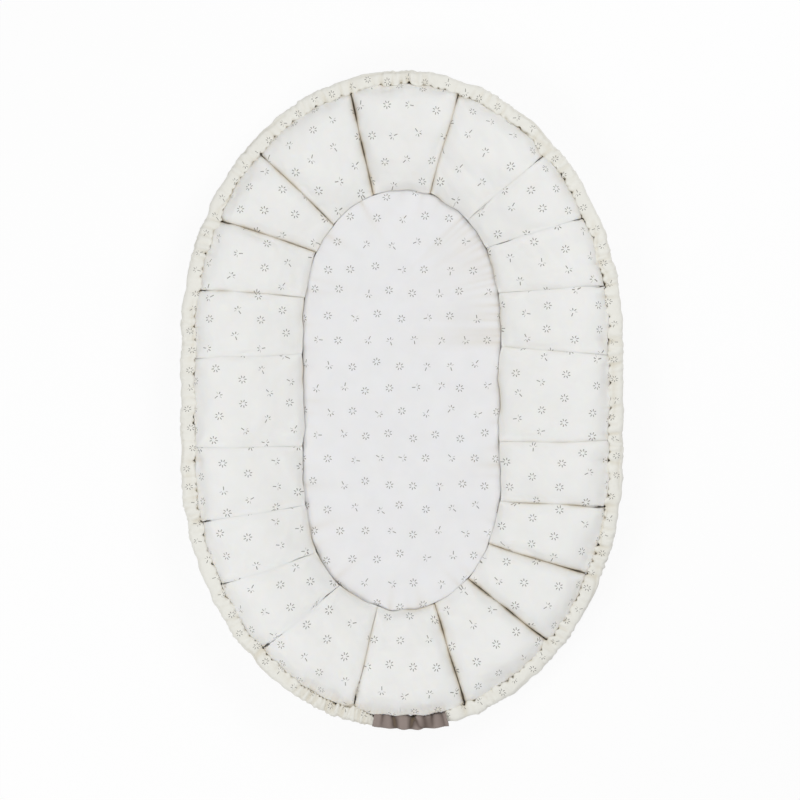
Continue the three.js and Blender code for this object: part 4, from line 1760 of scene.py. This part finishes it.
@dataclass
class FootSleeve(ClothTube):
    """The short taupe sleeve over the elastic, in the casing's opening at the foot."""

    width: float = 20 * MM
    height: float = 24 * MM
    power: float = 3.4
    step: float = 1.0 * MM
    sides: int = 60
    thickness: float = 0.8 * MM
    gather_ratio: float = 1.15
    length: float = 100 * MM
    # Where its deep folds are, as shares of its length from its right end.
    fold_shares: tuple[float, ...] = (0.06, 0.19, 0.31, 0.44, 0.46, 0.74, 0.88)
    # How deep each is, as a share of the deepest.
    fold_depth_shares: tuple[float, ...] = (0.3, 0.75, 0.25, 0.8, 0.8, 0.85, 0.5)
    fold_depth: float = 3.3 * MM
    # How far along the sleeve each drifts for each radian round it.
    fold_leans: tuple[float, ...] = (1 * MM, -1.5 * MM, 1 * MM, -4 * MM, 6 * MM, 3 * MM, -0.5 * MM)
    fold_widths: Pair = (1.8, 3.2)  # In mm.
    fold_reaches: Pair = (1.2, 2.6)  # How far round the sleeve a fold runs, in radians.
    fold_angle: float = 0.8 * math.pi
    hump: Wave = Wave(24 * MM, 0.5 * MM, 92)
    hem: float = 5 * MM  # Width of the turned-in cloth at each end.
    hem_step: float = 0.6 * MM
    hem_rise: float = 0.35 * MM
    straightened: float = 4.5 * MM  # How far its right end hangs out from the rim's oval.

    def build(self, material: Material, edge: RimEdge, middle: float) -> None:
        """Makes the sleeve.

        Args:
            material: Its cloth.
            edge: The edge between the pads and the rim.
            middle: The elastic's height.
        """
        along = np.linspace(0, self.length, round(self.length / self.step) + 1)
        place, outward = edge.rim.at(edge.foot - self.length / 2 + along)
        angle = np.linspace(0, TURN, self.sides, endpoint=False)
        out, rise = self._section(angle, self.power)
        draw = np.random.default_rng(91)
        count = len(self.fold_shares)
        folds = Gathers(
            np.array(self.fold_shares) * self.length, np.array(self.fold_depth_shares) * self.fold_depth,
            draw.uniform(*self.fold_widths, count) * MM, draw.uniform(*self.fold_reaches, count),
            np.array(self.fold_leans),
        )
        swell = folds.round_tube(along, angle, self.fold_angle)
        from_end = np.minimum(along, self.length - along)
        hem = (1 - smooth_step(from_end, self.hem - self.hem_step, self.hem)) * self.hem_rise
        swell += (self.hump.at(along) + hem)[:, None]
        swell *= smooth_step(from_end, -4 * MM, 6 * MM)[:, None]
        scale = 1 + swell / np.hypot(out, rise)[None]
        place = place + outward * (self.straightened * (1 - along / self.length) ** 1.5)[:, None]
        # Its folds get painted shade by how deep they are.
        piece, whole = self._sew_up(
            "sleeve", (along, place, outward), (out, rise), out[None] * scale,
            middle + rise[None] * scale, -swell / self.fold_depth,
        )
        dress(piece, material, Body.NEST, "foot_sleeve")


@dataclass
class RimElastic:
    """The braided elastic band that runs through the casing and the sleeve."""

    width: float = 12 * MM  # Its width, which stands upright.
    thickness: float = 2 * MM
    ribs: int = 7  # Cords braided side by side across its width.
    rib_relief: float = 0.25 * MM
    rows_in_rib: int = 4
    step: float = 4 * MM

    def build(self, material: Material, rim: Oval, middle: float) -> None:
        """Makes the band: a ring drawn up to its width, cut into rows and given its thickness.

        Args:
            material: Its braid.
            rim: The oval that it follows.
            middle: Its height.
        """
        count = round(rim.around() / self.step)
        rows = self.ribs * self.rows_in_rib
        bpy.ops.object.select_all(action="DESELECT")
        bpy.ops.mesh.primitive_circle_add(vertices=count, radius=rim.width / 2, fill_type="NOTHING")
        piece = bpy.context.active_object
        piece.name = "elastic_band"
        place, _ = rim.at(np.linspace(0, rim.around(), count, endpoint=False))
        place_vertices(piece, np.column_stack([place, np.full(count, middle - self.width / 2)]))
        with editing(piece):
            for _ in range(rows):
                up = {"value": (0, 0, self.width / rows)}
                bpy.ops.mesh.extrude_region_move(TRANSFORM_OT_translate=up)
        finish_modifier(piece, "SOLIDIFY", thickness=self.thickness, offset=0)
        points = coordinates(piece)
        past, way, around = rim.outset(points)
        height = (points[:, 2] - middle) / self.width + 0.5
        valley = 1 - np.abs(np.sin(math.pi * height * self.ribs))
        points[:, :2] -= (past * self.rib_relief / (self.thickness / 2) * valley)[:, None] * way
        place_vertices(piece, points)
        set_uv(piece, np.column_stack([points[:, 2] - middle, around]), rim.around())
        paint_crease_shade(piece, np.zeros(len(points)))
        dress(piece, material, Body.NEST, "rim_elastic")


@dataclass
class Base:
    """The base under the mattress: an underside and a lining panel with wadding between them."""

    cell: float = 5 * MM
    sides: int = 320
    ridge: float = 0.4 * MM  # Width of the line down the middle that the rings shrink to.
    wave: Wave = Wave(60 * MM, 0.25 * MM, 95)
    wave_room: float = 0.1 * MM  # How far up the layers may lie out of flat.
    edge_reach: float = 12 * MM
    crease_reach: float = 4 * MM

    def build(self, plain: Material, printed: Material, filling: Material) -> None:
        """Makes the three layers.

        Args:
            plain: The underside's cloth.
            printed: The lining's cloth.
            filling: The wadding.
        """
        layers = (
            ("base_underside", "base_cloth", plain, Slot.BASE),
            ("base_wadding", "base_filling", filling, Slot.WADDING),
            ("base_lining", "lining_cloth", printed, Slot.BASE),
        )
        for number, (node, name, material, slot) in enumerate(layers):
            low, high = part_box(node)
            outline = Oval(high.x - low.x, high.y - low.y, WELL.straight)
            piece = self._disc(name, outline, high.z)
            finish_modifier(piece, "SOLIDIFY", thickness=high.z - low.z, offset=-1)
            points = coordinates(piece)
            past, _, _ = outline.outset(points)
            lift = self.wave.at(points[:, :2], number) * smooth_step(-past, 0, self.edge_reach)
            points[:, 2] += np.minimum(lift, self.wave_room) * smooth_step(points[:, 2], low.z, high.z)
            place_vertices(piece, points)
            set_uv(piece, points[:, :2])
            # Painted shade towards the edge of each layer.
            paint_crease_shade(piece, 0.5 * fade(-past, self.crease_reach))
            dress(piece, material, Body.NEST, node)
            if slot is Slot.WADDING:
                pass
            else:
                area = math.pi / 4 * outline.width * (outline.length - outline.straight)
                area += outline.width * outline.straight

    def _disc(self, name: str, outline: Oval, height: float) -> Object:
        """Makes an oval sheet from rings that shrink to a line down its middle.

        Args:
            name: The object's name.
            outline: Its outline.
            height: Its height.

        Returns:
            The sheet.
        """
        rings = []
        count = round(outline.width / 2 / self.cell)
        for inset in np.linspace(0, (outline.width - self.ridge) / 2, count):
            ring = Oval(outline.width - 2 * inset, outline.length - 2 * inset, outline.straight)
            place, _ = ring.at(np.linspace(0, ring.around(), self.sides, endpoint=False))
            rings.append(np.column_stack([place, np.full(self.sides, height)]))
        piece = tube(name, np.array(rings))
        with editing(piece):
            bpy.ops.mesh.remove_doubles(threshold=0.5 * MM)
        if piece.data.polygons[0].normal.z < 0:
            piece.data.flip_normals()
        return piece


@dataclass
class Studio:
    """The floor, the lamps, the sky and the camera."""

    view_width: float = 1.088  # Width of what the camera sees at the wall's middle height.
    camera_height: float = 2.6
    middle_height: float = 75 * MM  # The height that the view's width is measured at.
    offset: Pair = (-2.7 * MM, 0.0)  # The camera's place from the lounger's middle.
    sensor: float = 36.0
    floor_size: float = 12.0
    floor_glow: float = 0.88  # How white the floor is where it is seen. The rest keeps the shadow.
    # Each softbox's name, its place and its power in watts.
    lamps: tuple[tuple[str, tuple[float, float, float], float], ...] = (
        ("key", (-1.1, -0.95, 1.9), 16.5),
        ("fill", (0.95, 1.1, 1.9), 17.0),
    )
    lamp_size: float = 1.0
    sky: float = 0.55

    def build(self) -> None:
        """Sets up the whole studio."""
        scene = bpy.context.scene
        scene.view_settings.view_transform = "Standard"
        self._camera(scene)
        self._floor()
        self._sky(scene)
        for name, place, power in self.lamps:
            self._lamp(name, place, power)

    def _camera(self, scene: Scene) -> None:
        """Hangs the camera straight above the lounger."""
        data = bpy.data.cameras.new("camera")
        data.sensor_width = self.sensor
        data.lens = self.sensor * (self.camera_height - self.middle_height) / self.view_width
        camera = add_object("camera", data)
        camera.location = (*self.offset, self.camera_height)
        scene.camera = camera

    def _floor(self) -> None:
        """Lays a white painted floor, plain and matt, that keeps a faint shadow."""
        bpy.ops.object.select_all(action="DESELECT")
        bpy.ops.mesh.primitive_plane_add(size=self.floor_size)
        floor = bpy.context.active_object
        floor.name = "floor"
        material = bpy.data.materials.new("white painted floor")
        tree = empty_tree(material)
        paint = add_node(tree, "BsdfDiffuse", {0: linear("#f4f4f4")})
        glow = add_node(tree, "Emission", {0: WHITE, 1: 1.0})
        share = add_node(tree, "Math", {0: self._seen(tree), 1: self.floor_glow}, operation="MULTIPLY")
        mix = add_node(tree, "MixShader", {0: share.outputs[0], 1: paint.outputs[0], 2: glow.outputs[0]})
        add_node(tree, "OutputMaterial", {0: mix.outputs[0]})
        floor.data.materials.append(material)

    def _sky(self, scene: Scene) -> None:
        """Surrounds the scene with even, white light."""
        world = bpy.data.worlds.new("studio")
        scene.world = world
        tree = empty_tree(world)
        light = add_node(tree, "Background", {0: WHITE, 1: self.sky})
        backdrop = add_node(tree, "Background", {0: WHITE, 1: 1.0})
        mix = add_node(tree, "MixShader", {
            0: self._seen(tree), 1: light.outputs[0], 2: backdrop.outputs[0],
        })
        add_node(tree, "OutputWorld", {0: mix.outputs[0]})

    @staticmethod
    def _seen(tree: NodeTree) -> NodeSocket:
        """Adds the nodes that tell rays that see the backdrop from those that carry its light.

        Args:
            tree: The floor's or the sky's nodes.

        Returns:
            The socket that is 1 for a ray of the camera, a gloss or a clear material.
        """
        path = add_node(tree, "LightPath")
        seen = path.outputs["Is Camera Ray"]
        for ray in ("Is Glossy Ray", "Is Transmission Ray"):
            either = {0: seen, 1: path.outputs[ray]}
            seen = add_node(tree, "Math", either, operation="MAXIMUM").outputs[0]
        return seen

    def _lamp(self, name: str, place: tuple[float, float, float], power: float) -> None:
        """Hangs one softbox that faces the lounger.

        Args:
            name: Its name.
            place: Where it hangs.
            power: Its power, in watts.
        """
        data = bpy.data.lights.new(name, "AREA")
        data.shape = "SQUARE"
        data.size = self.lamp_size
        data.energy = power
        lamp = add_object(name, data)
        lamp.location = place
        lamp.rotation_mode = "QUATERNION"
        lamp.rotation_quaternion = (-Vector(place)).to_track_quat("-Z", "Y")


def rim_edge(elastic: RimElastic, straight: float) -> RimEdge:
    """Finds the rim's oval, where the pads' seams and the sleeve meet it, and draws its gathers.

    Args:
        elastic: The elastic that runs along it.
        straight: The length of its straight sides.

    Returns:
        The edge between the pads and the casing.
    """
    low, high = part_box("rim_elastic")
    rim = Oval(high.x - low.x - elastic.thickness, high.y - low.y - elastic.thickness, straight)
    line, along = rim.line(400)
    seams = []
    for node in WALL_NODES:
        plane = seam_planes(node)[0]
        aside = (line - plane.point[:2]) @ plane.normal[:2]
        ahead = (line - plane.point[:2]) @ plane.outwards()[:2]
        seams.append(along[np.where(ahead > 0, np.abs(aside), 1.0).argmin()])
    sleeve_low, sleeve_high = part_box("foot_sleeve")
    foot = float(rim.outset(np.array([(sleeve_low + sleeve_high) / 2]))[2][0])
    gathering = Gathering((8 * MM, 15 * MM), 3.8 * MM, (foot - 50 * MM, foot + 160 * MM), 83)
    return RimEdge(rim, np.array(seams), gathering.draw(rim.around(), np.array(seams)), foot)


def main() -> None:
    """Builds the lounger piece by piece."""
    logging.basicConfig(level=logging.INFO, format="%(name)s: %(message)s")
    Studio().build()
    pattern = Print()
    # A fine, plain-woven cotton over white filling: matt and nearly white; light through it softens its
    # creases, and warm shade is painted into them.
    percale = Cloth(
        "printed cotton percale", "#ececea", "#cfc5b2", translucence=0.25, pattern=pattern,
    ).build()
    # The same cotton without filling right behind it: a touch yellower, crisper in its many folds, with
    # warm shade painted into them.
    gathered = Cloth("gathered cotton percale", "#e9e8e1", "#c9bda2", pattern=pattern).build()
    # Soft cotton stretched over the filling: the coolest white, lit evenly.
    cover = Cloth(
        "printed cotton jersey cover", "#e9e9ea", "#c9bda4", translucence=0.25, pattern=pattern,
    ).build()
    # Bleached sheeting without print: matt and plain, for the underside.
    plain = Cloth("bleached cotton sheeting", "#ebebe8", "#c9bfae").build()
    # Twill is woven in steps, which show as fine diagonal ribs, and is heavier; dark shade is painted into
    # its folds.
    twill = Cloth("taupe cotton twill", "#958882", "#5f534c", thread=1.1, relief=0.09, twill=True).build()
    # Braided cords over rubber threads: a coarse, crossing relief.
    braid = Cloth("braided elastic", "#efece4", "#d8d2c4", thread=1.6, relief=0.15).build()
    # Loose polyester fibres: the whitest, with a fuzzy, lumpy surface.
    wadding = Cloth("polyester wadding", "#f6f6f3", "#e8e8e4", relief=0.3, sheen=0.5).build()
    pads = WallPads()
    elastic = RimElastic()
    edge = rim_edge(elastic, pads.wall.straight)
    low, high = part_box("rim_elastic")
    middle = (low.z + high.z) / 2
    pads.build(percale, edge)
    Mattress().build(cover, wadding)
    Base().build(plain, gathered, wadding)
    elastic.build(braid, edge.rim, middle)
    RimCasing().build(gathered, edge, middle)
    FootSleeve().build(twill, edge, middle)


if __name__ == "__main__":
    main()
